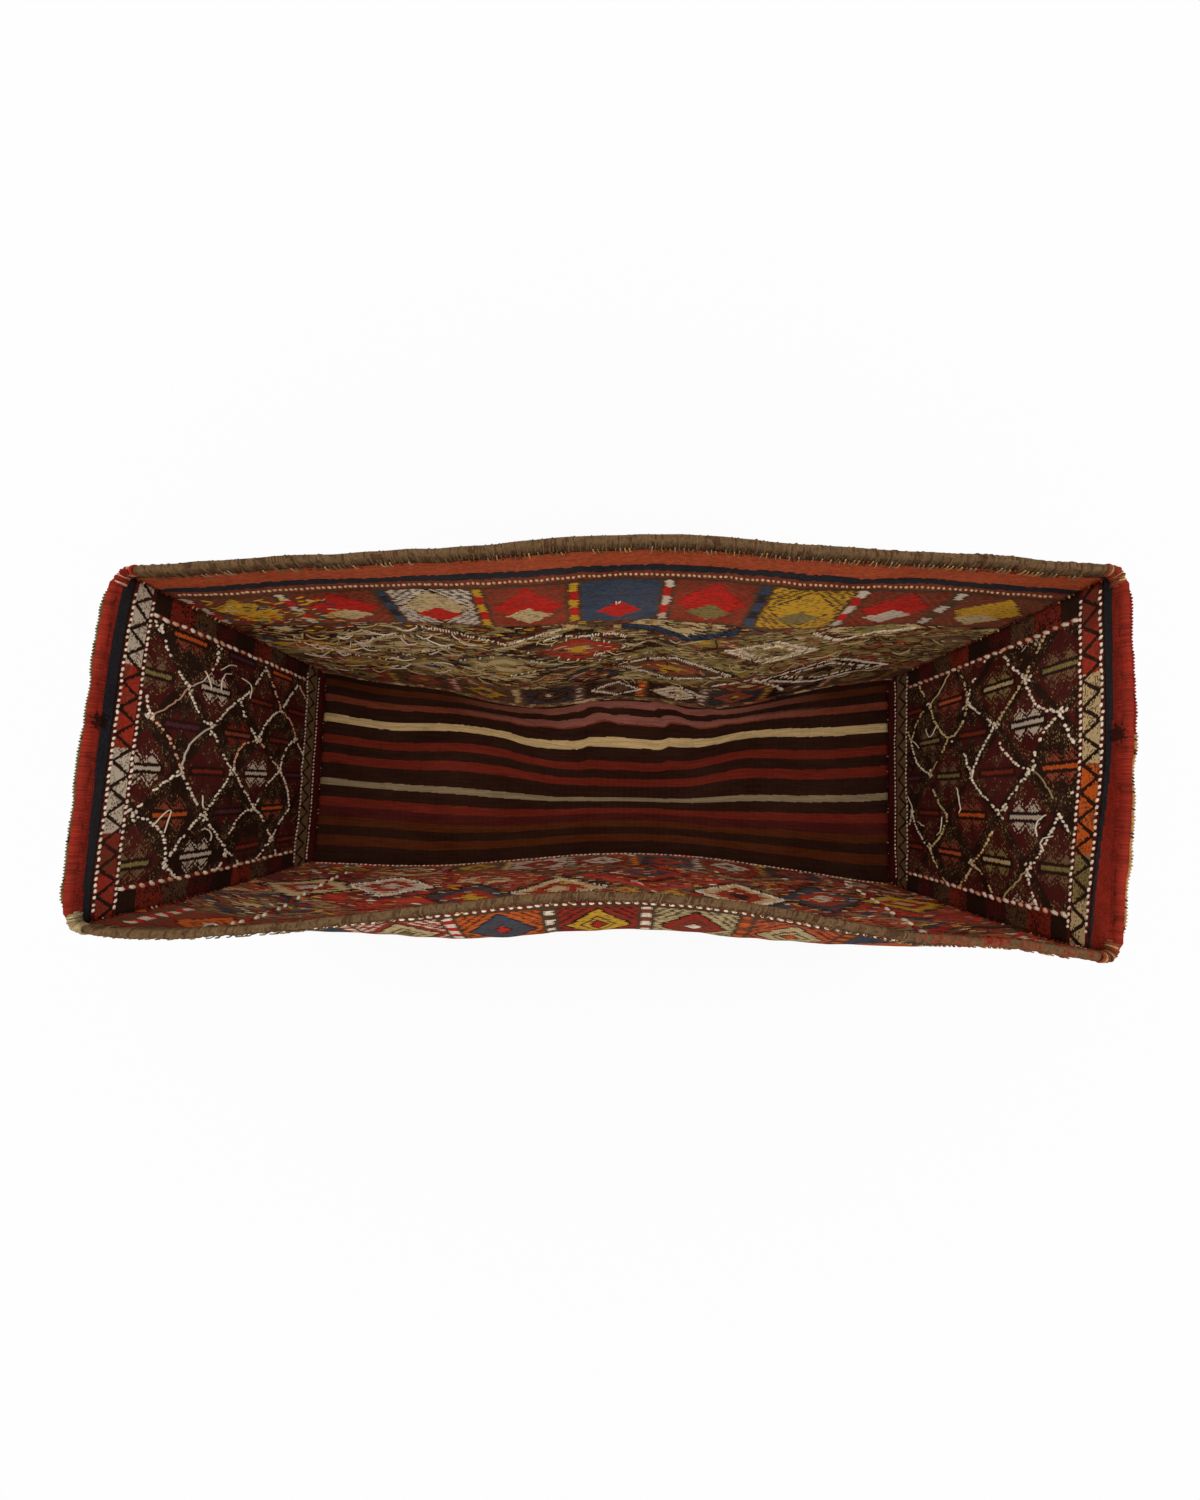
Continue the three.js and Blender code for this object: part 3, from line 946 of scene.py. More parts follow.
# Wools of the dividers between the boxes: ground and checks
BACK_DIVIDERS = (
    "ivory scarlet", "ivory scarlet", "indigo navy", "gold scarlet", "gold scarlet",
    "ivory scarlet", "indigo navy", "ivory scarlet", "ivory umber", "ivory scarlet",
)
# The same for the boxes on the outside of the front rim: ground, lozenge, its middle, corners
FRONT_BOXES = (
    "claret orange ivory umber",
    "indigo ivory scarlet navy",
    "madder sand olive ivory",
    "orange indigo scarlet soot",
    "madder gold scarlet soot",
    "sand madder ivory soot",
    "rust sand orange soot",
    "indigo orange ivory navy",
    "orange sand scarlet umber",
)
FRONT_DIVIDERS = (
    "ivory scarlet", "umber ivory", "ivory scarlet", "ivory scarlet", "umber ivory",
    "ivory brick", "orange brick", "umber orange", "scarlet indigo", "ivory scarlet",
)
# Boxes of the borders that run along the feet of the long walls
BACK_FOOT_BOXES = (
    "claret olive soot umber",
    "umber brick gold soot",
    "umber gold indigo soot",
    "navy soot ivory soot",
    "soot umber soot soot",
    "soot sand umber soot",
    "navy brick gold soot",
    "soot umber ivory soot",
    "umber olive claret soot",
)
FRONT_FOOT_BOXES = (
    "claret gold indigo umber",
    "claret sand soot umber",
    "umber gold claret soot",
    "ivory claret ivory claret",
    "claret ivory claret soot",
    "navy claret navy soot",
    "claret ivory umber soot",
    "navy claret navy soot",
    "claret ivory soot soot",
)
FOOT_DIVIDERS = (
    "ivory umber", "gold umber", "ivory scarlet", "gold ivory", "ivory umber",
    "gold scarlet", "ivory umber", "gold umber", "ivory scarlet", "gold umber",
)
DIVIDER_HALF = 0.0050

# Stripes of the base: where each starts, in metres from the back wall, and its wool
BASE_STRIPES = (
    (0.000, "soot"), (0.006, "tan"), (0.021, "soot"), (0.039, "brick"), (0.054, "soot"),
    (0.078, "cream"), (0.095, "soot"), (0.120, "claret"), (0.137, "soot"), (0.157, "claret"),
    (0.174, "soot"), (0.205, "dun"), (0.217, "soot"), (0.240, "claret"), (0.257, "maroon"),
    (0.276, "tan"), (0.292, "soot"), (0.310, "tan"), (0.328, "soot"),
)
BASE_SPAN = 0.356

# How deep the plain bands under the rims go, and the depths over which the wool inside is painted lighter and
# lighter, as painted light in the shade inside the bag
BAND_SPAN = 0.1
INSIDE_LIGHT_SPAN = (0.04, 0.19)

# The lattice of nested lozenges in the fields of the long walls
NEST_WIDTH = 0.262
NEST_HEIGHT = 0.126
NEST_PLACE = (-0.046, 0.230)


class BoxRow(NamedTuple):
    """A row of border boxes: the wools of its boxes and dividers, where it starts below the rim, its height,
    the pitch of its boxes and how far it is shifted along the bag."""

    boxes: tuple
    dividers: tuple
    start: float
    height: float
    pitch: float
    shift: float


class LongWall(NamedTuple):
    """What differs between the cloths of the front and the back wall, each counted down from its own rim.

    A band is where it starts below the rim, and its wool. A lozenge is its place along the bag and below the
    rim, half its width and height, and the wools of its rings from the outside in."""

    from_back: bool
    bands: tuple
    rim_row: BoxRow
    field_start: float
    foot_row: BoxRow
    floats: str
    strays: str
    lozenges: tuple
    seed: float


BACK_WALL = LongWall(
    from_back=True,
    bands=((0.0, "umber"), (0.013, "rust"), (0.040, "navy"), (0.052, "brick"), (0.065, "umber")),
    rim_row=BoxRow(BACK_BOXES, BACK_DIVIDERS, 0.068, 0.090, 0.113, 0.005),
    field_start=0.159,
    foot_row=BoxRow(BACK_FOOT_BOXES, FOOT_DIVIDERS, 0.343, 0.056, 0.106, 0.004),
    floats="olive umber sand brick soot olive sand umber navy moss tan sand",
    strays="sand umber olive sand brick tan navy gold",
    lozenges=(
        (-0.430, 0.235, 0.080, 0.034, "umber gold brick gold"),
        (-0.304, 0.228, 0.088, 0.036, "soot sand umber sand"),
        (-0.400, 0.300, 0.085, 0.036, "soot brick olive gold"),
        (-0.275, 0.305, 0.085, 0.036, "umber olive sand indigo"),
        (-0.157, 0.270, 0.096, 0.038, "navy olive sand olive"),
        (-0.046, 0.230, 0.078, 0.033, "umber madder brick gold"),
        (-0.030, 0.318, 0.060, 0.028, "soot navy brick umber"),
        (0.096, 0.293, 0.106, 0.040, "soot umber brick gold"),
        (0.130, 0.205, 0.060, 0.026, "umber brick olive gold"),
        (0.228, 0.223, 0.078, 0.034, "umber sand olive moss"),
        (0.225, 0.330, 0.070, 0.028, "navy brick tan sand"),
        (0.345, 0.312, 0.112, 0.046, "soot soot umber soot"),
        (0.405, 0.225, 0.080, 0.034, "umber olive brick sand"),
    ),
    seed=4.0,
)
FRONT_WALL = LongWall(
    from_back=False,
    bands=((0.0, "umber"), (0.017, "claret"), (0.026, "umber")),
    rim_row=BoxRow(FRONT_BOXES, FRONT_DIVIDERS, 0.029, 0.088, 0.108, 0.005),
    field_start=0.118,
    foot_row=BoxRow(FRONT_FOOT_BOXES, FOOT_DIVIDERS, 0.343, 0.056, 0.106, 0.004),
    floats="maroon claret brick soot madder claret navy sand claret umber moss",
    strays="sand claret scarlet ivory umber gold navy",
    lozenges=(
        (-0.420, 0.250, 0.080, 0.050, "soot sand claret ivory"),
        (-0.305, 0.262, 0.072, 0.048, "soot ivory claret ivory"),
        (-0.180, 0.235, 0.075, 0.046, "soot navy claret gold"),
        (-0.060, 0.250, 0.080, 0.050, "soot sand claret sand"),
        (0.072, 0.305, 0.074, 0.042, "soot claret navy claret"),
        (0.040, 0.228, 0.034, 0.024, "umber gold brick gold"),
        (0.104, 0.224, 0.036, 0.024, "umber gold olive gold"),
        (0.203, 0.245, 0.074, 0.050, "soot sand claret soot"),
        (0.325, 0.255, 0.074, 0.048, "soot navy claret ivory"),
        (0.440, 0.250, 0.070, 0.048, "soot gold claret sand"),
    ),
    seed=9.0,
)


def box_row(dye, cells, row, face):
    """The colours of a row of border boxes, and where the row lies.

    On the face of the cloth a lozenge has an outline and a middle. On the reverse it has a lower half."""
    parts = dye.call("Border boxes", {
        "Spot": cells["Spot"], "Start": row.start, "Height": row.height, "Pitch": row.pitch,
        "Shift": row.shift, "Divider": DIVIDER_HALF, "Check height": row.height * (0.22 if face else 0.4),
    })
    middle = len(row.boxes) // 2 + 0.5
    number = (parts["Box"] + middle) / len(row.boxes)
    ground, first, second, corner = (dye.pick(number, names) for names in zip(*map(str.split, row.boxes)))
    number = (parts["Divider number"] + middle) / len(row.dividers)
    plain, check = (dye.pick(number, names) for names in zip(*map(str.split, row.dividers)))
    diamond = parts["Diamond"]
    colour = dye.mix(parts["Hatch"] * (diamond > 1.12) * (cells["Tint"] > 0.25) * 0.85, ground, corner)
    if face:
        colour = dye.layers(
            colour, (diamond < 1.0, "soot"), (diamond < 0.9, first), (diamond.within(0.46, 0.55), "umber"),
            (diamond < 0.3, "soot"), (diamond < 0.22, second),
        )
    else:
        colour = dye.layers(
            colour, (diamond.within(1.0, 1.08), corner), (diamond < 1.0, first),
            (parts["Low diamond"] < 1.0, second),
        )
    fleck = (cells["Tint"] * 17.0).fract() > 0.84
    edge = abs(parts["Across"]) > row.height * 0.5 - 0.0025
    colour = dye.layers(
        colour, (fleck * 0.6, "umber"), (parts["Divider line"], "umber"),
        (parts["Divider"], dye.mix(parts["Check"], plain, check)), (edge, "umber"),
    )
    return parts["Band"], colour


def woven_field(dye, flat, wall, mess):
    """The field of a long wall: loose pattern yarn with ragged lozenges in it."""
    floats = dye.cells(flat, 0.0105, 0.0021, mess, wall.seed + 3.0)
    tint = floats["Tint"]
    nest = dye.call("Lozenge field", {
        "Spot": floats["Spot"], "Width": NEST_WIDTH, "Height": NEST_HEIGHT, "Shift U": NEST_PLACE[0],
        "Shift T": NEST_PLACE[1], "Seed": wall.seed,
    })
    patch = dye.noise(flat, 26.0)
    names = wall.floats.split()
    colour = dye.layers(
        dye.pick(nest["Ring tone"], names),
        (nest["Ring edge"] * (patch > 0.42) * 0.8, "soot"),
        (tint < (patch - 0.40) * 2.0, dye.pick((tint * 13.0).fract(), names)),
    )
    for u, t, half_u, half_t, wools in wall.lozenges:
        colour = dye.call("Lozenge", {
            "Spot": floats["Spot"], "U": u, "T": t, "Half U": half_u, "Half T": half_t, "Below": colour,
            **dict(zip(RINGS, wools.split())),
        })["Colour"]
    stray = dye.pick((tint * 7.0).fract(), wall.strays.split())
    return dye.mix((tint * 31.0).fract() > 0.93, colour, stray)


def long_wall(name, wall, face):
    """Cloth of one side of a long wall: bands, border boxes, field and foot border."""
    material, dye = new_material(name)
    sizes = bpy.context.scene.cloth_sizes
    u, run, _ = dye.split(flat_place(dye))
    t = (run * -1.0 + STRIP_RUN) if wall.from_back else run
    flat = dye.vector(u, t)
    mess = 0.0013 if face else 0.0038
    cells = dye.cells(flat, sizes.float_length, sizes.yarn_width, mess, wall.seed + 1.0)
    ragged = dye.cells(flat, 0.0065, 0.0021, 0.001 if face else 0.0055, wall.seed + 2.0)
    _, spot_t, _ = dye.split(cells["Spot"])
    plain = dye.bands(spot_t / BAND_SPAN, [(start / BAND_SPAN, band) for start, band in wall.bands])
    colour = dye.layers(
        plain,
        (spot_t > wall.field_start, woven_field(dye, flat, wall, 0.002 if face else 0.007)),
        box_row(dye, cells, wall.rim_row, face or not wall.from_back),
        box_row(dye, ragged, wall.foot_row, True),
    )
    lift = 0.95
    # On the reverse, inside the bag, the wool is painted lighter further down, and more on the front wall:
    # painted light in place of the shade there
    if not face:
        lift = dye.add("ShaderNodeMapRange", {
            "Value": t, "From Min": INSIDE_LIGHT_SPAN[0], "From Max": INSIDE_LIGHT_SPAN[1],
            "To Min": 1.0 if wall.from_back else 1.5,
            "To Max": sizes.inside_painted_light * (1.0 if wall.from_back else 1.3),
        })
    dye.finish_cloth(colour, flat, cells, 0.3, lift)
    return material


def striped_base(name):
    """Weft stripes of the base."""
    material, dye = new_material(name)
    u, run, _ = dye.split(flat_place(dye))
    across = run - (WALL_RUN + ARC_RUN + BASE_RUN / 2)
    flat = dye.vector(u, across)
    cells = dye.cells(flat, 0.021, 0.0013, 0.0016, 5.0)
    _, spot_t, _ = dye.split(cells["Spot"])
    wander = (dye.noise(flat, 6.0) - 0.5) * 0.004
    place = ((spot_t + wander) * -1.0 + BASE_SPAN / 2) / BASE_SPAN
    squeeze = u.hump(0.05, 0.36) * place.hump(0.18, 0.42)
    sway = (u.hump(0.07, 0.45) * 0.018 - 0.008) * place.hump(0.62, 0.4)
    crease = dye.noise(dye.vector(u * 15.0 + across * 11.0, 3.7), 1.0, 0.0) * 9.0 - 4.0
    pleat = crease.most(0.0).least(1.0) * place.hump(0.06, 0.15) * u.hump(0.04, 0.36)
    place = place + (squeeze * 0.013 + pleat * 0.007 - sway) / BASE_SPAN
    stripes = dye.bands(place, [(start / BASE_SPAN, stripe) for start, stripe in BASE_STRIPES])
    pale = u.hump(0.06, 0.34) * (place.within(0.017, 0.059).most(place.within(0.101, 0.143)))
    colour = dye.layers(stripes, (pale * 0.9, "blush"), (0.06, "brick"))
    # The lift of 1.1 paints the base wool a little lighter, as painted light in the shade inside the bag
    dye.finish_cloth(colour, flat, cells, 0.12, 1.1, 0.0006)
    return material


# The cloth of the end panels


class EndPanel(NamedTuple):
    """What differs between the cloths of the two end panels: how far the red comes in, how far the border
    drifts in, where the lattice lies, and the colours.

    The segments of the top border run from left to right. The motifs are two for every row, which take turns,
    from the top row down."""

    name: str
    side: int
    red_depth: float
    drift: float
    shift_w: float
    shift_t: float
    segments: str
    motifs: str
    outlines: str
    seed: float


LEFT_END = EndPanel(
    "left", -1, 0.0108, 0.0, -0.0195, 0.154, "madder claret ivory ivory madder madder ivory ivory",
    "ivory olive plum orange claret ivory brick plum ivory claret claret orange plum claret",
    "ivory ivory ivory shell", 11.0,
)
RIGHT_END = EndPanel(
    "right", 1, 0.0158, 0.075, 0.0, 0.164, "claret madder sand sand orange orange olive sand",
    "orange olive ivory ivory claret sand orange claret olive rust claret olive plum claret",
    "ivory ivory sand ivory cream", 17.0,
)
# The darker wool of the wings of a motif, by the wool of its bar
MOTIF_WINGS = {
    "orange": "brick", "rust": "brick", "brick": "claret", "claret": "maroon", "plum": "maroon",
    "olive": "moss", "sand": "olive",
}
# How much deeper the red of the hems comes in towards the front, per metre
RED_SLOPE = 0.020
# The dark worn spot of each hem: how far back and down it lies, and half its width and height
SPOT_BACK = 0.025
SPOT_DOWN = 0.010
SPOT_HALF_WIDTH = 0.013
SPOT_HALF_HEIGHT = 0.012
# How far below the rim the drift of an end border fades out
BORDER_FADE = 0.16
# The lattice: size of a lozenge, and the field it fills, down from the top
LATTICE_WIDTH = 0.106
LATTICE_HEIGHT = 0.092
END_FIELD = (0.053, 0.362)
# A motif: half the width and height of its bar and of the dark gap round it, and its wings
BAR_HALF = 0.0023
BAR_REACH = 0.0245
BAR_GAP = 0.0062
GAP_REACH = 0.029
WING_RISE = 0.0092
WING_PITCH = 0.0215
# Down from the top: the rows of dots, the borders and the middles of their zigzags, the ends of the navy
# and of the dark band, where the painted light on the wool inside starts, and the plain foot
END_DOTS = (0.0255, 0.0490, 0.3640, 0.3990)
DOT_HALF = 0.0022
TOP_BORDER = (0.027, 0.049)
TOP_ZIGZAG = 0.0375
FOOT_BORDER = (0.364, 0.395)
FOOT_ZIGZAG = 0.3785
NAVY_END = 0.0215
DARK_END = 0.0235
INSIDE_LIGHT_START = 0.023
PLAIN_FOOT = 0.394
ZIGZAG_HEIGHT = 0.020
ZIGZAG_PITCH = 0.028
ZIGZAG_HALF = 0.0032
# The lines down both sides of an end, and the run of the four colours outside them
END_SIDE = 0.150
END_SIDE_HALF = 0.0026
SIDE_BLOCK_RUN = 0.148


def end_field(dye, panel, flat, cells, patchy, face):
    """The lattice of lozenges of an end panel, each with a barred motif."""
    tint = cells["Tint"]
    field = dye.call("Lozenge field", {
        "Spot": cells["Spot"], "Width": LATTICE_WIDTH, "Height": LATTICE_HEIGHT, "Shift U": panel.shift_w,
        "Shift T": panel.shift_t, "Seed": panel.seed,
    })
    names = panel.motifs.split()
    number = (field["Row"] * 2.0 + field["Odd column"] + 4.5) / len(names)
    motif = dye.pick(number, names)
    wings = dye.pick(number, [MOTIF_WINGS.get(name, name) for name in names])
    distance = field["Distance"]
    ground = dye.layers(
        dye.mix((field["Mood"] > 0.3) * (distance < 0.86) * 0.8, "soot", "maroon"),
        (tint < (patchy - 0.42) * 1.7, "umber"),
        ((distance > 0.93) * (tint > 0.22), "ivory") if face
        else ((tint > 0.95) * (patchy > 0.47), "olive"),
    )
    x = abs(field["X"])
    y = field["Y"]
    rise = (x - BAR_GAP) / WING_RISE + abs((y / WING_PITCH).fract() - 0.5) * 2.2
    near = abs(y) < WING_PITCH
    worn = (tint < (patchy - 0.38) * 2.0) * 0.8
    return dye.layers(
        ground,
        (rise.within(1.32, 1.62) * (tint > 0.45) * near * 0.8, wings),
        ((x < BAR_GAP) * (abs(y) < GAP_REACH), "soot"),
        ((rise < 1.0) * (x > BAR_GAP) * near, dye.mix(worn, wings, "maroon")),
        ((x < BAR_HALF) * (abs(y) < BAR_REACH), dye.mix(worn * 0.3, motif, "maroon")),
    )


def end_cloth(name, panel, face):
    """Cloth of an end panel: bands, zigzag borders, side strips, and the lattice between them."""
    material, dye = new_material(name)
    flat = flat_place(dye)
    cells = dye.cells(flat, 0.0016, 0.0012, 0.0003 if face else 0.0009, panel.seed)
    tint = cells["Tint"]
    w, t, _ = dye.split(cells["Spot"])
    drift = (w * panel.side).most(0.0) * (t / -BORDER_FADE + 1.0).most(0.0) * panel.drift
    t = t - drift
    patchy = dye.noise(flat, 42.0, 3.0)
    blocks = dye.pick((t / SIDE_BLOCK_RUN).fract(), ["maroon", "soot", "claret", "umber"])
    blocks = dye.mix(tint < (patchy - 0.3) * 1.8, blocks, "soot")
    segment = dye.pick((w / (2 * HALF_END)) + 0.5, panel.segments.split())
    segment = dye.mix((tint < (patchy - 0.34) * 1.6) * 0.8, segment, "umber")
    red_edge = w * (panel.side * RED_SLOPE) + panel.red_depth
    bands = dye.layers("madder", (t > red_edge, "navy"), (t > NAVY_END, "soot"))
    colour = dye.layers(
        end_field(dye, panel, flat, cells, patchy, face),
        (abs(w) > END_SIDE, blocks),
        (abs(w).within(END_SIDE - END_SIDE_HALF, END_SIDE + END_SIDE_HALF), "claret"),
        (t.within(*TOP_BORDER), dye.mix(zigzag(w, t, TOP_ZIGZAG), segment, "soot")),
        (t.within(*FOOT_BORDER), dye.mix(zigzag(w, t, FOOT_ZIGZAG), "moss", "soot")),
        *[(t.within(place - DOT_HALF, place + DOT_HALF), "maroon") for place in END_DOTS],
        (t < DARK_END, bands),
        ((t < red_edge) * uneven_dye(dye, flat), "claret"),
    )
    lift = 0.95
    if not face:
        colour = dye.mix(worn_spot(dye, panel, flat), colour, "soot")
        # On the reverse, inside the bag, the wool below the top is painted lighter, and so is the drifted red
        # near the top: painted light in place of the shade there
        inside_painted_light = bpy.context.scene.cloth_sizes.inside_painted_light * 0.79
        lift = dye.add("ShaderNodeMix", {
            "Factor": t > INSIDE_LIGHT_START, "A": drift * 60.0 + 1.0, "B": inside_painted_light,
        })
    colour = dye.mix(t > PLAIN_FOOT, colour, "maroon")
    dye.finish_cloth(colour, flat, cells, 0.12, lift)
    return material


def uneven_dye(dye, flat):
    """How much of the darker red shows in the red of the hems."""
    return (dye.noise(flat, 60.0, 4.0) - 0.42) * 3.0


def worn_spot(dye, panel, flat):
    """The ragged dark spot where a hem is worn through to its ground."""
    w, t, _ = dye.split(flat)
    near = w.hump(-panel.side * SPOT_BACK, SPOT_HALF_WIDTH) * t.hump(SPOT_DOWN, SPOT_HALF_HEIGHT)
    return (near + (dye.noise(flat, 300.0, 3.0) - 0.5) * 1.8 > 0.62) * 0.85


def zigzag(w, t, centre):
    """Dark diagonals that cut a border into triangles."""
    swing = abs((w / ZIGZAG_PITCH).fract() - 0.5) * (2 * ZIGZAG_HEIGHT) - ZIGZAG_HEIGHT / 2
    return abs(t - centre - swing) < ZIGZAG_HALF


def hem_cloth(name, panel):
    """The folded red hem, with a worn ribbed surface, dark stitch marks and one dark worn spot."""
    material, dye = new_material(name)
    flat = flat_place(dye)
    w, t, _ = dye.split(flat)
    cells = dye.cells(dye.vector(t, w), 0.012, 0.0017, 0.001, 3.0)
    marks = dye.noise(dye.vector(w * 85.0, t * 260.0), 1.0, 1.0)
    worn = (marks > 0.62) * t.hump(0.0052, 0.0050)
    colour = dye.layers(
        "madder", (uneven_dye(dye, flat), "claret"), (worn * 0.6, "maroon"),
        (worn_spot(dye, panel, flat), "soot"),
    )
    dye.finish_cloth(colour, flat, cells, 0.1)
    return material


# The yarns

# The lattice outlines: how far they are numbered both ways, and the size of the table of their shifts
LATTICE_REACH = 8
SHIFT_TABLE = 40
# How high short yarns lie on the cloth
YARN_RISE = 0.0004
# The stitches over the rim bindings
RIM_STITCH_SPAN = (-0.48, 0.48)
RIM_STITCH_PITCH = 0.0048


def yarn_finish(name, colours, far=None):
    """Plain spun yarn whose wraps differ in tint.

    Beyond a place along one axis of the bag, given as far, it can have other colours."""
    material, dye = new_material(name)
    place = dye.node("ShaderNodeTexCoord")["Object"]
    tint = dye.node("ShaderNodeAttribute", attribute_name="tint")["Fac"]
    patch = dye.noise(place, 38.0)
    fuzz = dye.noise(place, 1400.0)
    mottle = dye.noise(place, 240.0, 3.0, 0.7)
    share = tint * 0.6 + patch * 0.8 - 0.2
    colour = dye.pick(share, colours.split())
    if far:
        axis, limit, far_colours = far
        beyond = dye.split(place)[axis] + patch * 0.08 > limit
        colour = dye.mix(beyond, colour, dye.pick(share, far_colours.split()))
    dye.finish(dye.shade(colour, fuzz * 0.7 + tint * 0.4 + mottle * 1.6 - 0.35), fuzz)
    return material


def dyed_yarn():
    """Pattern yarn that carries its colour with it."""
    material, dye = new_material("Pattern yarn")
    place = dye.node("ShaderNodeTexCoord")["Object"]
    own = dye.node("ShaderNodeAttribute", attribute_name="yarn_colour")["Color"]
    fuzz = dye.noise(place, 1400.0)
    dye.finish(dye.shade(own, fuzz * 0.6 + 0.8), fuzz)
    return material


def pattern_yarn():
    """The one material of all pattern yarn, made on first use."""
    return bpy.data.materials.get("Pattern yarn") or dyed_yarn()


class Laid:
    """Collects short yarns on the flat cloth: place, turn, reach, thickness and colour."""

    def __init__(self, seed):
        self.random = np.random.default_rng(seed)
        self.rows = []

    def add(self, u, t, turn, reach, thick, colour):
        shade = self.random.uniform(0.8, 1.15)
        self.rows.append((u, t, turn, reach, thick, *[channel * shade for channel in dyed(colour)]))

    def grow(self, name, slot, place):
        """The yarns as one plain mesh, bent onto the cloth and a little above it."""
        u, t, turn, reach, thick, *channels = np.array(self.rows).T
        stored = {"turn": turn, "reach": reach, "thick": thick, "yarn_colour": np.column_stack(channels)}
        points = np.column_stack([u, t, 0 * u])
        values = {"Rise": YARN_RISE, "Finish": pattern_yarn()}
        settle(grown(name, points, [], [], stored, "Laid yarns", values, place), slot)


class Cords:
    """Collects longer yarns on the flat cloth: lines of places with heights, a thickness and a colour."""

    def __init__(self):
        self.points = []
        self.edges = []
        self.thick = []
        self.colours = []

    def add(self, places, thick, colour):
        first = len(self.points)
        self.points.extend(places)
        self.edges.extend((number, number + 1) for number in range(first, len(self.points) - 1))
        self.thick.extend([thick] * len(places))
        self.colours.extend([dyed(colour)] * len(places))

    def grow(self, name, slot, place):
        """The yarns as one plain mesh, bent onto the cloth."""
        stored = {"thick": np.array(self.thick), "yarn_colour": np.array(self.colours)}
        values = {"Finish": pattern_yarn()}
        settle(grown(name, self.points, self.edges, [], stored, "Cords", values, place), slot)


def any_of(random, names):
    """One of some names, at random."""
    return names[int(random.integers(len(names)))]


def twined_line(laid, along, across, pitch, colours, reach, thick, upright=False):
    """A line of twined dots across the cloth, or down it."""
    for number, place in enumerate(np.arange(*along, pitch)):
        jitter = laid.random.normal(0, 0.0004, 2)
        turn = laid.random.normal(0.35, 0.2) + (math.pi / 2 if upright else 0)
        long = reach * laid.random.uniform(0.8, 1.2)
        spot = ((across, place) if upright else (place, across)) + jitter
        laid.add(*spot, turn, long, thick, colours[number % len(colours)])


def curve_between(random, start, end, bulge, count=9):
    """Places on an uneven line that bulges to one side between two places on the flat cloth."""
    share = np.linspace(0, 1, count)[:, None]
    along = end - start
    aside = np.array([-along[1], along[0]]) / np.hypot(*along)
    line = start + share * along + aside * bulge * 4 * share * (1 - share)
    return line + random.normal(0.0, 0.0007, line.shape)


def loose_curve(random, along, down, draw_turn, longest, bulge):
    """An uneven curve of loose yarn that starts somewhere in a part of the flat cloth."""
    start = np.array([random.uniform(*along), random.uniform(*down)])
    turn = draw_turn()
    end = start + random.uniform(0.014, longest) * np.array([math.cos(turn), math.sin(turn)])
    return curve_between(random, start, end, random.normal(0.0, bulge))


def along_path(path, pitch):
    """Places along a path on the flat cloth."""
    for (u, t), (next_u, next_t) in zip(path, path[1:]):
        for share in np.arange(0, 1, pitch / math.dist((u, t), (next_u, next_t))):
            yield u + (next_u - u) * share, t + (next_t - t) * share


def lattice_outline(laid, cords, panel, thick):
    """Raised white outlines of the lozenges on an end panel: uneven cords and rows of stitches, worn through
    here and there, with a few crossed stitches where they meet."""
    random = laid.random
    shifts = random.normal(0.0, 0.0042, (SHIFT_TABLE, SHIFT_TABLE, 2))
    wools = panel.outlines.split()

    def crossing(p, q):
        w = panel.shift_w + LATTICE_WIDTH * (p + q - 1) / 2
        level = panel.shift_t + LATTICE_HEIGHT * (p - q) / 2
        return np.array([w, level]) + shifts[p + SHIFT_TABLE // 2, q + SHIFT_TABLE // 2]

    def inside(place):
        return abs(place[0]) < END_SIDE - 0.001 and END_FIELD[0] < place[1] < END_FIELD[1]

    numbers = range(-LATTICE_REACH, LATTICE_REACH + 1)
    for p in numbers:
        for q in numbers:
            if inside(crossing(p, q)) and random.random() < 0.7:
                for turn in (0.8, -0.8, 0.6, -0.9):
                    spot = crossing(p, q) + random.normal(0.0, 0.0035, 2)
                    laid.add(*spot, turn, random.uniform(0.002, 0.0042), thick * 0.9, "ivory")
            for following in (crossing(p + 1, q), crossing(p, q + 1)):
                line = curve_between(random, crossing(p, q), following, random.normal(0.0, 0.0065), 16)
                line = [place for place in line if inside(place)]
                if len(line) < 6 or random.random() < 0.10:
                    continue
                colour = any_of(random, wools)
                parts = [line]
                if random.random() < 0.4:
                    gap = int(random.integers(3, len(line) - 2))
                    parts = [line[:gap - 1], line[gap + 1:]]
                for part in parts:
                    outline_part(laid, cords, part, colour, thick)


def outline_part(laid, cords, line, colour, thick):
    """One unbroken part of a white outline, as a cord or as a row of stitches."""
    random = laid.random
    if len(line) < 3:
        return
    if random.random() < 0.08:
        tone = random.uniform(0.6, 0.95)
        lifted = [(*place, thick * 0.4) for place in line]
        cords.add(lifted, thick * random.uniform(0.5, 0.8), [tone * channel for channel in dyed(colour)])
        return
    for here, there in zip(line, line[1:]):
        if random.random() < 0.1:
            continue
        slant = math.atan2(there[1] - here[1], there[0] - here[0])
        reach = random.uniform(0.0018, 0.0032)
        laid.add(*here, slant + random.normal(0.0, 0.4), reach, thick * random.uniform(0.8, 1.25), colour)


def stray_ends(cords, random, colour, thick, count):
    """Loose white ends and loops that have come away from the outlines."""
    for _ in range(count):
        line = loose_curve(
            random, (-0.13, 0.13), (0.06, 0.34), lambda: random.uniform(0, 2 * math.pi), 0.034, 0.010
        )
        height = thick * 0.5 + 0.003 * np.sin(np.linspace(0.2, math.pi, len(line)))
        cords.add(np.column_stack([line, height]), thick * 0.5, colour)


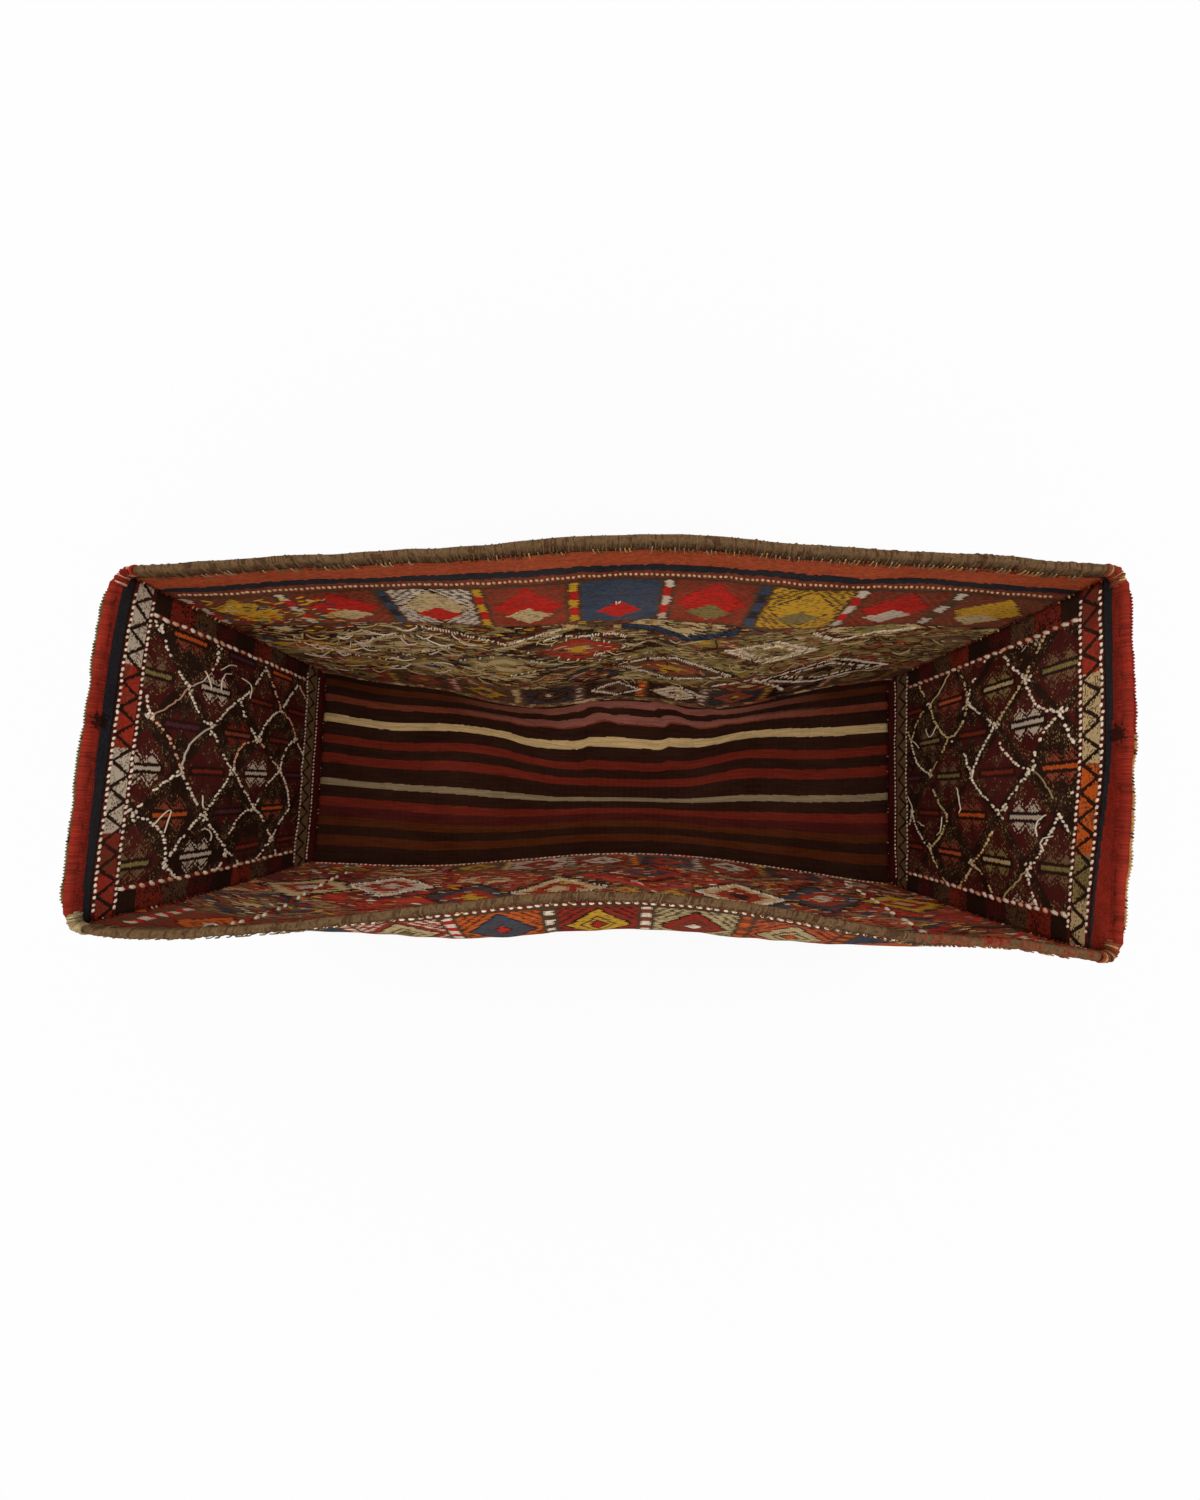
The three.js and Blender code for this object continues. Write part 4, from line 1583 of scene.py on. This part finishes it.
def loose_loops(cords, random, count, along, down, names):
    """Loops of pattern yarn that have worked loose from the field of a long wall."""
    for _ in range(count):
        line = loose_curve(random, along, down, lambda: random.normal(0.0, 0.5), 0.040, 0.005)
        height = 0.0006 + random.uniform(0.001, 0.005) * np.sin(np.linspace(0.0, math.pi, len(line)))
        colour = any_of(random, names)
        cords.add(np.column_stack([line, height]), random.uniform(0.0007, 0.0011), colour)


def field_floats(laid, count, along, down, names):
    """Loose pattern yarns over a part of a long wall."""
    random = laid.random
    for _ in range(count):
        u = random.uniform(*along)
        t = random.uniform(*down)
        colour = any_of(random, names)
        turn = random.normal(0.0, 0.3)
        laid.add(u, t, turn, random.uniform(0.004, 0.010), random.uniform(0.0007, 0.0011), colour)


def stitched_path(laid, path, width, names):
    """A band of level stitches along a path on the flat cloth."""
    for u, t in along_path(path, 0.0035):
        for offset in np.arange(-width / 2, width / 2 + 0.0001, 0.0019):
            place = u + laid.random.normal(0.0, 0.001)
            colour = any_of(laid.random, names)
            laid.add(place, t + offset, laid.random.normal(0.0, 0.15), 0.0036, 0.001, colour)


def comb_path(laid, path, colour, keep):
    """White comb stitches along a path on the flat cloth, some of them worn away."""
    random = laid.random
    for u, t in along_path(path, 0.0038):
        if random.random() > keep:
            continue
        t = t + random.normal(0.0, 0.0007)
        turn = math.pi / 2 + random.normal(0.35, 0.3)
        laid.add(u, t, turn, random.uniform(0.0030, 0.0054), 0.0014, colour)


def comb_outlines(laid, lozenges, colour):
    """Lozenges outlined in white comb stitches."""
    for u, t, half_width, half_height, keep in lozenges:
        left = (u - half_width, t)
        path = (left, (u, t - half_height), (u + half_width, t), (u, t + half_height), left)
        comb_path(laid, path, colour, keep)


def rim_stitches(cords, random, keep):
    """Sewing stitches over the lower edge of a rim binding; more of them are left towards the right."""
    for place in np.arange(*RIM_STITCH_SPAN, RIM_STITCH_PITCH):
        if random.random() > keep * (0.55 + 0.45 * float(smooth(place, -0.2, 0.25))):
            continue
        lean = random.normal(0.0012, 0.0012)
        top = random.uniform(0.0020, 0.0065)
        foot = random.uniform(0.0125, 0.0155)
        line = ((place, top, 0.0040), (place + lean / 2, 0.0095, 0.0041), (place + lean, foot, 0.0022))
        colour = any_of(random, ("dun", "olive", "dun", "moss", "camel", "brick"))
        cords.add(line, random.uniform(0.0006, 0.0009), colour)


def wrapped(node, slot, core, values, place):
    """A core with overcast wraps round it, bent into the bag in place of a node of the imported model."""
    points, faces = core
    stored = {"tint": np.full(len(points), 0.4)}
    settle(grown(f"{node}_yarn", points, [], faces, stored, "Overcast wraps", values, place), slot, node)


# The pieces


class BAG_OT_strip(Operator):
    """Weaves the strip that makes both long walls and the base"""

    bl_idname = "bag.strip"
    bl_label = "Side and base strip"

    def execute(self, context):
        grid = context.scene.cloth_sizes.grid
        u = np.linspace(-STRIP_END, STRIP_END, round(2 * STRIP_END / grid) + 1)
        run = np.linspace(0, STRIP_RUN, round(STRIP_RUN / grid) + 1)
        places, runs = np.meshgrid(u, run)
        materials = [
            long_wall("Front wall reverse", FRONT_WALL, False),
            striped_base("Base stripes"),
            long_wall("Back wall reverse", BACK_WALL, False),
            long_wall("Front wall face", FRONT_WALL, True),
            long_wall("Back wall face", BACK_WALL, True),
        ]
        middle = (runs[:-1, :-1] + runs[1:, 1:]).ravel() / 2
        zones = [middle < BORDER_RUN, middle < STRIP_RUN - BORDER_RUN]
        piece = closed_sheet(
            "side_and_base_strip_cloth", strip_point(places, runs, CLOTH), strip_point(places, runs, 0.0),
            np.stack([places, runs], axis=-1), materials, np.select(zones, [0, 1], 2),
            np.select(zones, [3, 1], 4),
        )
        settle(piece, "strip_cloth", "side_and_base_strip")
        return {"FINISHED"}


class BAG_OT_ends(Operator):
    """Weaves the two end panels with their folded hems"""

    bl_idname = "bag.ends"
    bl_label = "End panels"

    def execute(self, context):
        for panel in (LEFT_END, RIGHT_END):
            hem = hem_cloth(f"{panel.name} hem cloth", panel)
            reverse = end_cloth(f"{panel.name} end reverse", panel, False)
            face = end_cloth(f"{panel.name} end face", panel, True)
            self.weave(context, panel.side, f"{panel.name}_end_panel", [reverse, hem, face])
        return {"FINISHED"}

    def weave(self, context, side, node, materials):
        grid = context.scene.cloth_sizes.grid
        levels, inner_depths, outer_depths = self.section(grid)
        share = np.linspace(-1, 1, round(2 * HALF_END / grid) + 1)
        hem_share = smooth(1.0 - np.abs(share), 0.0, HEM_TAPER)
        drop = np.maximum(levels - CLOTH_TOP, 0)
        t = BOX_HEIGHT - (levels[:, None] - drop[:, None] * (1 - hem_share)[None, :] * HEM_TAPER_DROP)
        curve = FOLD_RADIUS - np.minimum(levels, FOLD_RADIUS)
        half = HALF_WIDTH - FOLD_RADIUS + np.sqrt(np.maximum((FOLD_RADIUS - NOTCH) ** 2 - curve**2, 0))
        w = half[:, None] * share[None, :]
        outward = np.minimum(outer_depths, 0)[:, None] * (hem_share * hem_lump(side, w[-1]))[None, :]
        inner = end_point(side, w, t, inner_depths[:, None] + 0 * w)
        outer = end_point(side, w, t, np.maximum(outer_depths, 0)[:, None] + outward)
        rows = np.repeat((levels[:-1] + levels[1:]) / 2, len(share) - 1)
        piece = closed_sheet(
            f"{node}_cloth", inner, outer, np.stack([w, t], axis=-1), materials,
            np.where(rows > CLOTH_TOP - HEM_INSIDE, 1, 0), np.where(rows > HEM_FOOT, 1, 2),
        )
        settle(piece, "end_cloth", node)

    def section(self, grid):
        """Height, inner depth and outer depth of each row of an end panel, from its foot to its crown."""
        wall = np.linspace(NOTCH, HEM_FOOT, round((HEM_FOOT - NOTCH) / grid) + 1)
        lip = HEM_FOOT + np.array([0.0008, 0.002, 0.004, 0.008, 0.014, 0.020, HEM_LIP])
        lip_depth = -HEM_THICKNESS * np.array([0.45, 0.8, 1.0, 1.06, 1.03, 1.0, 1.0])
        turn = np.linspace(0.2, 1.0, 6) * math.pi / 2
        crown = HEM_FOOT + HEM_LIP + (BOX_HEIGHT - HEM_FOOT - HEM_LIP) * np.sin(turn)
        middle = (CLOTH - HEM_THICKNESS) / 2
        spread = (CLOTH + HEM_THICKNESS) / 2 * np.maximum(np.cos(turn), 0.02)
        levels = np.concatenate([wall, lip, crown])
        inner = np.concatenate([np.full(len(wall) + len(lip), CLOTH), middle + spread])
        outer = np.concatenate([np.zeros(len(wall)), lip_depth, middle - spread])
        return levels, inner, outer


class BAG_OT_bindings(Operator):
    """Overcasts the top edges of the two long walls"""

    bl_idname = "bag.bindings"
    bl_label = "Rim bindings"

    def execute(self, context):
        yarns = context.scene.yarn_sizes
        plain = "umber moss moss umber moss moss"
        reds = "umber brick moss brick brick claret"
        front = yarn_finish("Front overcast yarn", plain, (0, 0.36, reds))
        back = yarn_finish("Back overcast yarn", plain)
        half = BINDING_LENGTH / 2
        core = lofted(np.linspace(-half, half, 121), self.section())
        for node, side, finish in (("front_rim_binding", -1, front), ("back_rim_binding", 1, back)):

            def place(x, y, z):
                along = np.clip(x, -half, half)
                row = 0 * along + 0.2 * side
                aside = 0.0011 * soft_noise(along, row, 0.027, 12)
                above = 0.0013 * soft_noise(along, row, 0.034, 13)
                return slump(along, side * (HALF_WIDTH - CLOTH / 2 + y + aside), CLOTH_TOP + z + above)

            wrapped(node, "binding_yarn", core, {
                "Count": int(BINDING_LENGTH / yarns.wrap_pitch), "Pitch": yarns.wrap_pitch,
                "Start": (-half + 0.001, 0.0, -BINDING_DROP), "Half width": 0.0044, "Half height": 0.0078,
                "Yarn radius": yarns.wrap_yarn, "Lean": 0.22, "Play": 0.0009, "Seed": yarns.seed + side,
                "Finish": finish,
            }, place)
        return {"FINISHED"}

    def section(self):
        """A rounded U that straddles the edge of the cloth."""
        gap = CLOTH / 2 + 0.0004
        wall = CLOTH / 2 + 0.0018
        foot = -0.011
        under = 0.0003
        arch = [(wall * math.cos(a), 0.0004 + 0.0034 * math.sin(a)) for a in np.linspace(0, math.pi, 9)]
        return [(gap, foot), (wall, foot), *arch, (-wall, foot), (-gap, foot), (-gap, under), (gap, under)]


class BAG_OT_seams(Operator):
    """Oversews the end panels to the strip"""

    bl_idname = "bag.seams"
    bl_label = "End seams"

    def execute(self, context):
        yarns = context.scene.yarn_sizes
        finish = yarn_finish("Sewing yarn", "umber claret brick sand")
        core = lofted(np.linspace(SEAM_INSET, STRIP_RUN - SEAM_INSET, 240), round_section(SEAM_RADIUS, 6))
        for node, side in (("left_end_seam", -1), ("right_end_seam", 1)):

            def place(run, y, z):
                depth = np.maximum(SEAM_CENTRE + z, -SEAM_OUT)
                across, height = strip_section(np.clip(run, 0.0, STRIP_RUN), depth)
                return slump(side * (HALF_LENGTH - SEAM_CENTRE + y), across, np.maximum(height, 0.0))

            wrapped(node, "seam_yarn", core, {
                "Count": int((STRIP_RUN - 2 * SEAM_START) / yarns.stitch_pitch), "Pitch": yarns.stitch_pitch,
                "Start": (SEAM_START, 0.0, 0.0), "Half width": 0.0038, "Half height": 0.0038,
                "Yarn radius": yarns.stitch_yarn, "Lean": 0.35, "Play": 0.0007,
                "Seed": yarns.seed + 10 + side, "Finish": finish,
            }, place)
        return {"FINISHED"}


class BAG_OT_edgings(Operator):
    """Wraps the edgings on the outer sides of the hems"""

    bl_idname = "bag.edgings"
    bl_label = "Hem edgings"

    def execute(self, context):
        yarns = context.scene.yarn_sizes
        olive = yarn_finish("Olive edging", "umber olive moss")
        camel = yarn_finish("Camel edging", "tan camel camel", (1, 0.05, "claret madder madder"))
        half = EDGING_LENGTH / 2
        core = lofted(np.linspace(-half, half, 60), round_section(EDGING_RADIUS, 8))
        for node, side, slot, finish in (
            ("left_hem_edging", -1, "olive_yarn", olive), ("right_hem_edging", 1, "camel_yarn", camel),
        ):

            def place(along, y, z):
                turned = smooth(np.abs(along), half - EDGING_TURN, half)
                thickness = HEM_THICKNESS * hem_lump(side, -side * along)
                x = side * (HALF_LENGTH + thickness + EDGING_OUT + y - EDGING_TUCK * turned)
                return slump(x, np.clip(along, -half, half), CLOTH_TOP + EDGING_RISE + z)

            wrapped(node, slot, core, {
                "Count": int(2 * half / yarns.edging_pitch), "Pitch": yarns.edging_pitch,
                "Start": (-half + 0.001, 0.0, 0.0), "Half width": 0.0016, "Half height": 0.0017,
                "Yarn radius": 0.0008, "Lean": 0.3, "Play": 0.0003, "Seed": yarns.seed + 20 + side,
                "Finish": finish,
            }, place)
        return {"FINISHED"}


class BAG_OT_lashings(Operator):
    """Ties the four rim corners with sewing yarn"""

    bl_idname = "bag.lashings"
    bl_label = "Corner lashings"

    def execute(self, context):
        stations = np.linspace(-LASHING_TAILS[0], LASHING_RUN + LASHING_TAILS[1], 17)
        core = lofted(stations, round_section(LASHING_RADIUS, 8))
        for side, side_sign, end, end_sign, wools in (
            ("back", 1, "left", -1, "shell madder claret"), ("back", 1, "right", 1, "camel brick madder"),
            ("front", -1, "left", -1, "sand dun umber"), ("front", -1, "right", 1, "camel brick umber"),
        ):
            node = f"{side}_{end}_lashing"
            finish = yarn_finish(f"{side} {end} lashing", wools)

            def place(run, outward, z):
                turn = np.clip(run / LASHING_RUN, 0, 1) * np.pi / 2
                reach = CORNER - CLOTH / 2
                x = HALF_LENGTH - CORNER + reach * np.sin(turn) ** 0.7 + np.minimum(run, 0)
                y = HALF_WIDTH - CORNER + reach * np.cos(turn) ** 0.7 - np.maximum(run - LASHING_RUN, 0)
                x = end_sign * (x + outward * np.sin(turn))
                y = side_sign * (y + outward * np.cos(turn))
                return slump(x, y, CLOTH_TOP - LASHING_DROP + z)

            wrapped(node, "lashing_yarn", core, {
                "Count": 11, "Pitch": LASHING_RUN / 10, "Start": (0.0, 0.0, 0.0), "Half width": 0.0047,
                "Half height": 0.0062, "Yarn radius": 0.0012, "Lean": 0.15, "Play": 0.0006,
                "Seed": context.scene.yarn_sizes.seed + 30 + len(node), "Finish": finish,
            }, place)
        return {"FINISHED"}


# How far the rows of dots on the ends run across, and down their sides
END_DOT_SPAN = (-0.168, 0.168)
SIDE_DOT_SPAN = (0.055, 0.365)


class BAG_OT_end_yarns(Operator):
    """Lays the raised outlines and twined dots on the inside of the end panels"""

    bl_idname = "bag.end_yarns"
    bl_label = "Pattern yarn on the ends"

    def execute(self, context):
        yarns = context.scene.yarn_sizes
        for panel in (LEFT_END, RIGHT_END):
            laid = Laid(yarns.seed + 40 + panel.side)
            cords = Cords()
            lattice_outline(laid, cords, panel, yarns.outline_yarn)
            stray_ends(cords, laid.random, "ivory", yarns.outline_yarn, 7)
            for level in END_DOTS:
                twined_line(laid, END_DOT_SPAN, level, 0.0066, ["ivory"], 0.0025, 0.0015)
            for w in (-END_SIDE, END_SIDE):
                wools = ["ivory", "ivory", "shell"]
                twined_line(laid, SIDE_DOT_SPAN, w, 0.0130, wools, 0.0052, 0.0026, True)

            def place(w, t, height):
                drift = panel.drift * np.maximum(w * panel.side, 0) * np.maximum(1 - t / BORDER_FADE, 0)
                return end_point(panel.side, w, t + drift, CLOTH + height)

            laid.grow(f"{panel.name}_end_pattern_yarn", "end_cloth", place)
            cords.grow(f"{panel.name}_end_outline_cords", "end_cloth", place)
        return {"FINISHED"}


# Lozenges outlined in comb stitches: place along the bag and below the rim, half width and half height, and
# the share of the stitches that is left
BACK_COMBS = (
    (-0.046, 0.228, 0.074, 0.033, 0.25), (0.096, 0.293, 0.092, 0.036, 0.95),
    (-0.304, 0.228, 0.070, 0.032, 0.6), (0.228, 0.223, 0.066, 0.030, 0.95),
    (0.228, 0.223, 0.045, 0.018, 0.6), (0.345, 0.312, 0.100, 0.044, 0.95),
    (0.345, 0.312, 0.070, 0.026, 0.7), (0.120, 0.371, 0.040, 0.020, 0.9),
    (0.120, 0.371, 0.022, 0.010, 0.9), (0.015, 0.371, 0.042, 0.020, 0.9),
    (-0.157, 0.270, 0.080, 0.032, 0.2),
)
FRONT_COMBS = (
    (-0.305, 0.262, 0.060, 0.036, 0.8), (0.203, 0.245, 0.062, 0.036, 0.8), (-0.055, 0.25, 0.07, 0.03, 0.5),
)
# Other combs inside the back wall: the share of the stitches that is left, and the path they follow
BACK_COMB_PATHS = (
    (0.9, ((-0.262, 0.168), (-0.205, 0.184), (-0.150, 0.206), (-0.105, 0.186), (-0.070, 0.172))),
    (0.7, ((-0.105, 0.205), (-0.075, 0.190), (-0.046, 0.196), (0.000, 0.188), (0.020, 0.204))),
    (0.9, ((0.268, 0.172), (0.315, 0.200), (0.352, 0.182), (0.402, 0.168))),
    (0.9, ((0.170, 0.330), (0.225, 0.305), (0.280, 0.345), (0.300, 0.372))),
    (0.5, ((-0.455, 0.200), (-0.400, 0.262), (-0.352, 0.290), (-0.300, 0.262))),
    (0.35, ((0.060, 0.252), (0.010, 0.272), (-0.050, 0.262))),
    (1.0, ((0.001, 0.117), (0.008, 0.117))),
)
# The blue chevron, the lines of dots, and the parts of the walls that loose yarn covers
BLUE_CHEVRON = ((0.015, 0.171), (0.060, 0.185), (0.102, 0.200), (0.140, 0.184), (0.168, 0.170))
BACK_DOTS = 0.0585
FRONT_FOOT_DOTS = 0.404
FRONT_FACE_DOTS = 0.0215
WHOLE_WALL = (-0.495, 0.495)
WALL_FIELD = (-STRIP_END + 0.02, STRIP_END - 0.02)
BACK_FIELD = (0.163, 0.345)
FRONT_FIELD = (0.13, 0.402)


class BAG_OT_wall_yarns(Operator):
    """Lays loose pattern yarn, combs and twined lines on the long walls"""

    bl_idname = "bag.wall_yarns"
    bl_label = "Pattern yarn on the long walls"

    def execute(self, context):
        yarns = context.scene.yarn_sizes
        self.inside_back(yarns)
        self.inside_front(yarns)
        self.outside_front(yarns)
        return {"FINISHED"}

    def inside_back(self, yarns):
        laid = Laid(yarns.seed + 50)
        twined_line(laid, WHOLE_WALL, BACK_DOTS, yarns.bead_pitch, ["shell", "sand"], 0.0024, 0.0015)
        field_floats(laid, yarns.loose_floats, WALL_FIELD, BACK_FIELD, BACK_WALL.strays.split())
        brights = ("gold", "gold", "scarlet", "umber", "indigo", "sand")
        field_floats(laid, 120, (-0.485, -0.345), (0.078, 0.165), brights)
        stitched_path(laid, BLUE_CHEVRON, 0.012, ("indigo", "indigo", "navy"))
        comb_outlines(laid, BACK_COMBS, "ivory")
        for keep, path in BACK_COMB_PATHS:
            comb_path(laid, path, "ivory", keep)

        def place(u, t, height):
            return strip_point(u, STRIP_RUN - t, CLOTH + height)

        laid.grow("back_wall_pattern_yarn", "strip_cloth", place)
        loops = Cords()
        pale = ("sand", "ivory", "sand", "olive", "camel")
        loose_loops(loops, laid.random, 110, (-0.47, -0.20), (0.17, 0.345), pale)
        dull = ("sand", "olive", "umber", "tan", "sand")
        loose_loops(loops, laid.random, 110, (-0.20, 0.45), (0.19, 0.345), dull)
        loops.grow("back_wall_loose_loops", "strip_cloth", place)
        stitches = Cords()
        rim_stitches(stitches, laid.random, 0.9)
        stitches.grow("back_rim_stitches", "binding_yarn", place)

    def inside_front(self, yarns):
        laid = Laid(yarns.seed + 60)
        field_floats(laid, yarns.loose_floats // 2, WALL_FIELD, FRONT_FIELD, FRONT_WALL.strays.split())
        twined_line(laid, WHOLE_WALL, FRONT_FOOT_DOTS, 0.0078, ["ivory"], 0.0026, 0.0014)
        for u, low, high in ((-0.405, 0.035, 0.330), (0.400, 0.120, 0.360)):
            wools = ["ivory", "ivory", "madder"]
            twined_line(laid, (low, high), u, 0.0140, wools, 0.0060, 0.0028, True)
        comb_outlines(laid, FRONT_COMBS, "ivory")

        def place(u, t, height):
            return strip_point(u, t, CLOTH + height)

        laid.grow("front_wall_pattern_yarn", "strip_cloth", place)

    def outside_front(self, yarns):
        laid = Laid(yarns.seed + 70)
        twined_line(laid, WHOLE_WALL, FRONT_FACE_DOTS, 0.0095, ["ivory"], 0.0034, 0.0015)

        def place(u, t, height):
            return strip_point(u, t, -height)

        laid.grow("front_face_twined_line", "strip_cloth", place)
        stitches = Cords()
        rim_stitches(stitches, laid.random, 0.8)
        stitches.grow("front_rim_stitches", "binding_yarn", place)


# The stage: the photo's camera, given in pixels of the photo, under soft light on a white floor
CAMERA_PLACE = (-0.007, -0.045, 1.03)
FOCAL_PIXELS = 591
TILT_PIXELS = 38
PHOTO_HEIGHT = 1500
SENSOR = 36.0
FLOOR_REACH = 6.0
FLOOR_LEVEL = -0.0005
FLOOR_PAINT = (0.82, 0.82, 0.82)
FLOOR_GLOW = 0.9
WHITE = (1.0, 1.0, 1.0)
SKY_STRENGTH = 0.95
LAMP_STRENGTH = 0.5
LAMP_SPREAD = math.radians(40)
LAMP_TURN = (math.radians(-10), math.radians(-2), 0.0)


class BAG_OT_stage(Operator):
    """Sets the floor, the soft light and the camera"""

    bl_idname = "bag.stage"
    bl_label = "Stage"

    def execute(self, context):
        self.floor()
        self.light(context)
        self.camera(context)
        context.scene.view_settings.view_transform = "Standard"
        return {"FINISHED"}

    def floor(self):
        mesh = bpy.data.meshes.new("floor")
        corners = [(x * FLOOR_REACH, y * FLOOR_REACH, FLOOR_LEVEL)
                   for x, y in ((-1, -1), (1, -1), (1, 1), (-1, 1))]
        mesh.from_pydata(corners, [], [(0, 1, 2, 3)])
        material, dye = new_material("White floor")
        path = dye.node("ShaderNodeLightPath")
        seen = path["Is Camera Ray"].most(path["Is Glossy Ray"]).most(path["Is Transmission Ray"])
        paint = dye.add("ShaderNodeBsdfDiffuse", {"Color": FLOOR_PAINT})
        glow = dye.add("ShaderNodeEmission", {"Color": WHITE, "Strength": 1.0})
        blend = dye.add("ShaderNodeMixShader", {0: seen * FLOOR_GLOW, 1: paint, 2: glow})
        dye.node("ShaderNodeOutputMaterial", {"Surface": blend})
        mesh.materials.append(material)
        linked("floor", mesh)

    def light(self, context):
        world = bpy.data.worlds.new("Studio")
        world.use_nodes = True
        backdrop = world.node_tree.nodes["Background"]
        backdrop.inputs["Color"].default_value = (*WHITE, 1.0)
        backdrop.inputs["Strength"].default_value = SKY_STRENGTH
        context.scene.world = world
        lamp = bpy.data.lights.new("Overhead", "SUN")
        lamp.energy = LAMP_STRENGTH
        lamp.angle = LAMP_SPREAD
        overhead = linked("Overhead", lamp)
        overhead.rotation_euler = LAMP_TURN

    def camera(self, context):
        lens = bpy.data.cameras.new("Camera")
        lens.sensor_width = SENSOR
        lens.lens = SENSOR * FOCAL_PIXELS / PHOTO_HEIGHT
        camera = linked("Camera", lens)
        camera.location = CAMERA_PLACE
        camera.rotation_euler = (math.atan2(TILT_PIXELS, FOCAL_PIXELS), 0.0, 0.0)
        context.scene.camera = camera


class BAG_PT_panel(Panel):
    """Lists the pieces of the bag"""

    bl_idname = "BAG_PT_panel"
    bl_label = "Bedding bag"
    bl_space_type = "VIEW_3D"
    bl_region_type = "UI"
    bl_category = "Bedding bag"

    def draw(self, context):
        for operator in OPERATORS:
            self.layout.operator(operator.bl_idname)
        for setting, group in SETTINGS.items():
            box = self.layout.box()
            for name in group.__annotations__:
                box.prop(getattr(context.scene, setting), name)


OPERATORS = (
    BAG_OT_stage,
    BAG_OT_strip,
    BAG_OT_ends,
    BAG_OT_bindings,
    BAG_OT_seams,
    BAG_OT_edgings,
    BAG_OT_lashings,
    BAG_OT_end_yarns,
    BAG_OT_wall_yarns,
)
CLASSES = (*SETTINGS.values(), *OPERATORS, BAG_PT_panel)


def register():
    for cls in CLASSES:
        bpy.utils.register_class(cls)
    for setting, group in SETTINGS.items():
        setattr(bpy.types.Scene, setting, PointerProperty(type=group))


def unregister():
    for setting in SETTINGS:
        delattr(bpy.types.Scene, setting)
    for cls in reversed(CLASSES):
        bpy.utils.unregister_class(cls)


def main():
    register()
    bpy.ops.bag.stage()
    bpy.ops.bag.strip()
    bpy.ops.bag.ends()
    bpy.ops.bag.bindings()
    bpy.ops.bag.seams()
    bpy.ops.bag.edgings()
    bpy.ops.bag.lashings()
    bpy.ops.bag.end_yarns()
    bpy.ops.bag.wall_yarns()


if __name__ == "__main__":
    main()
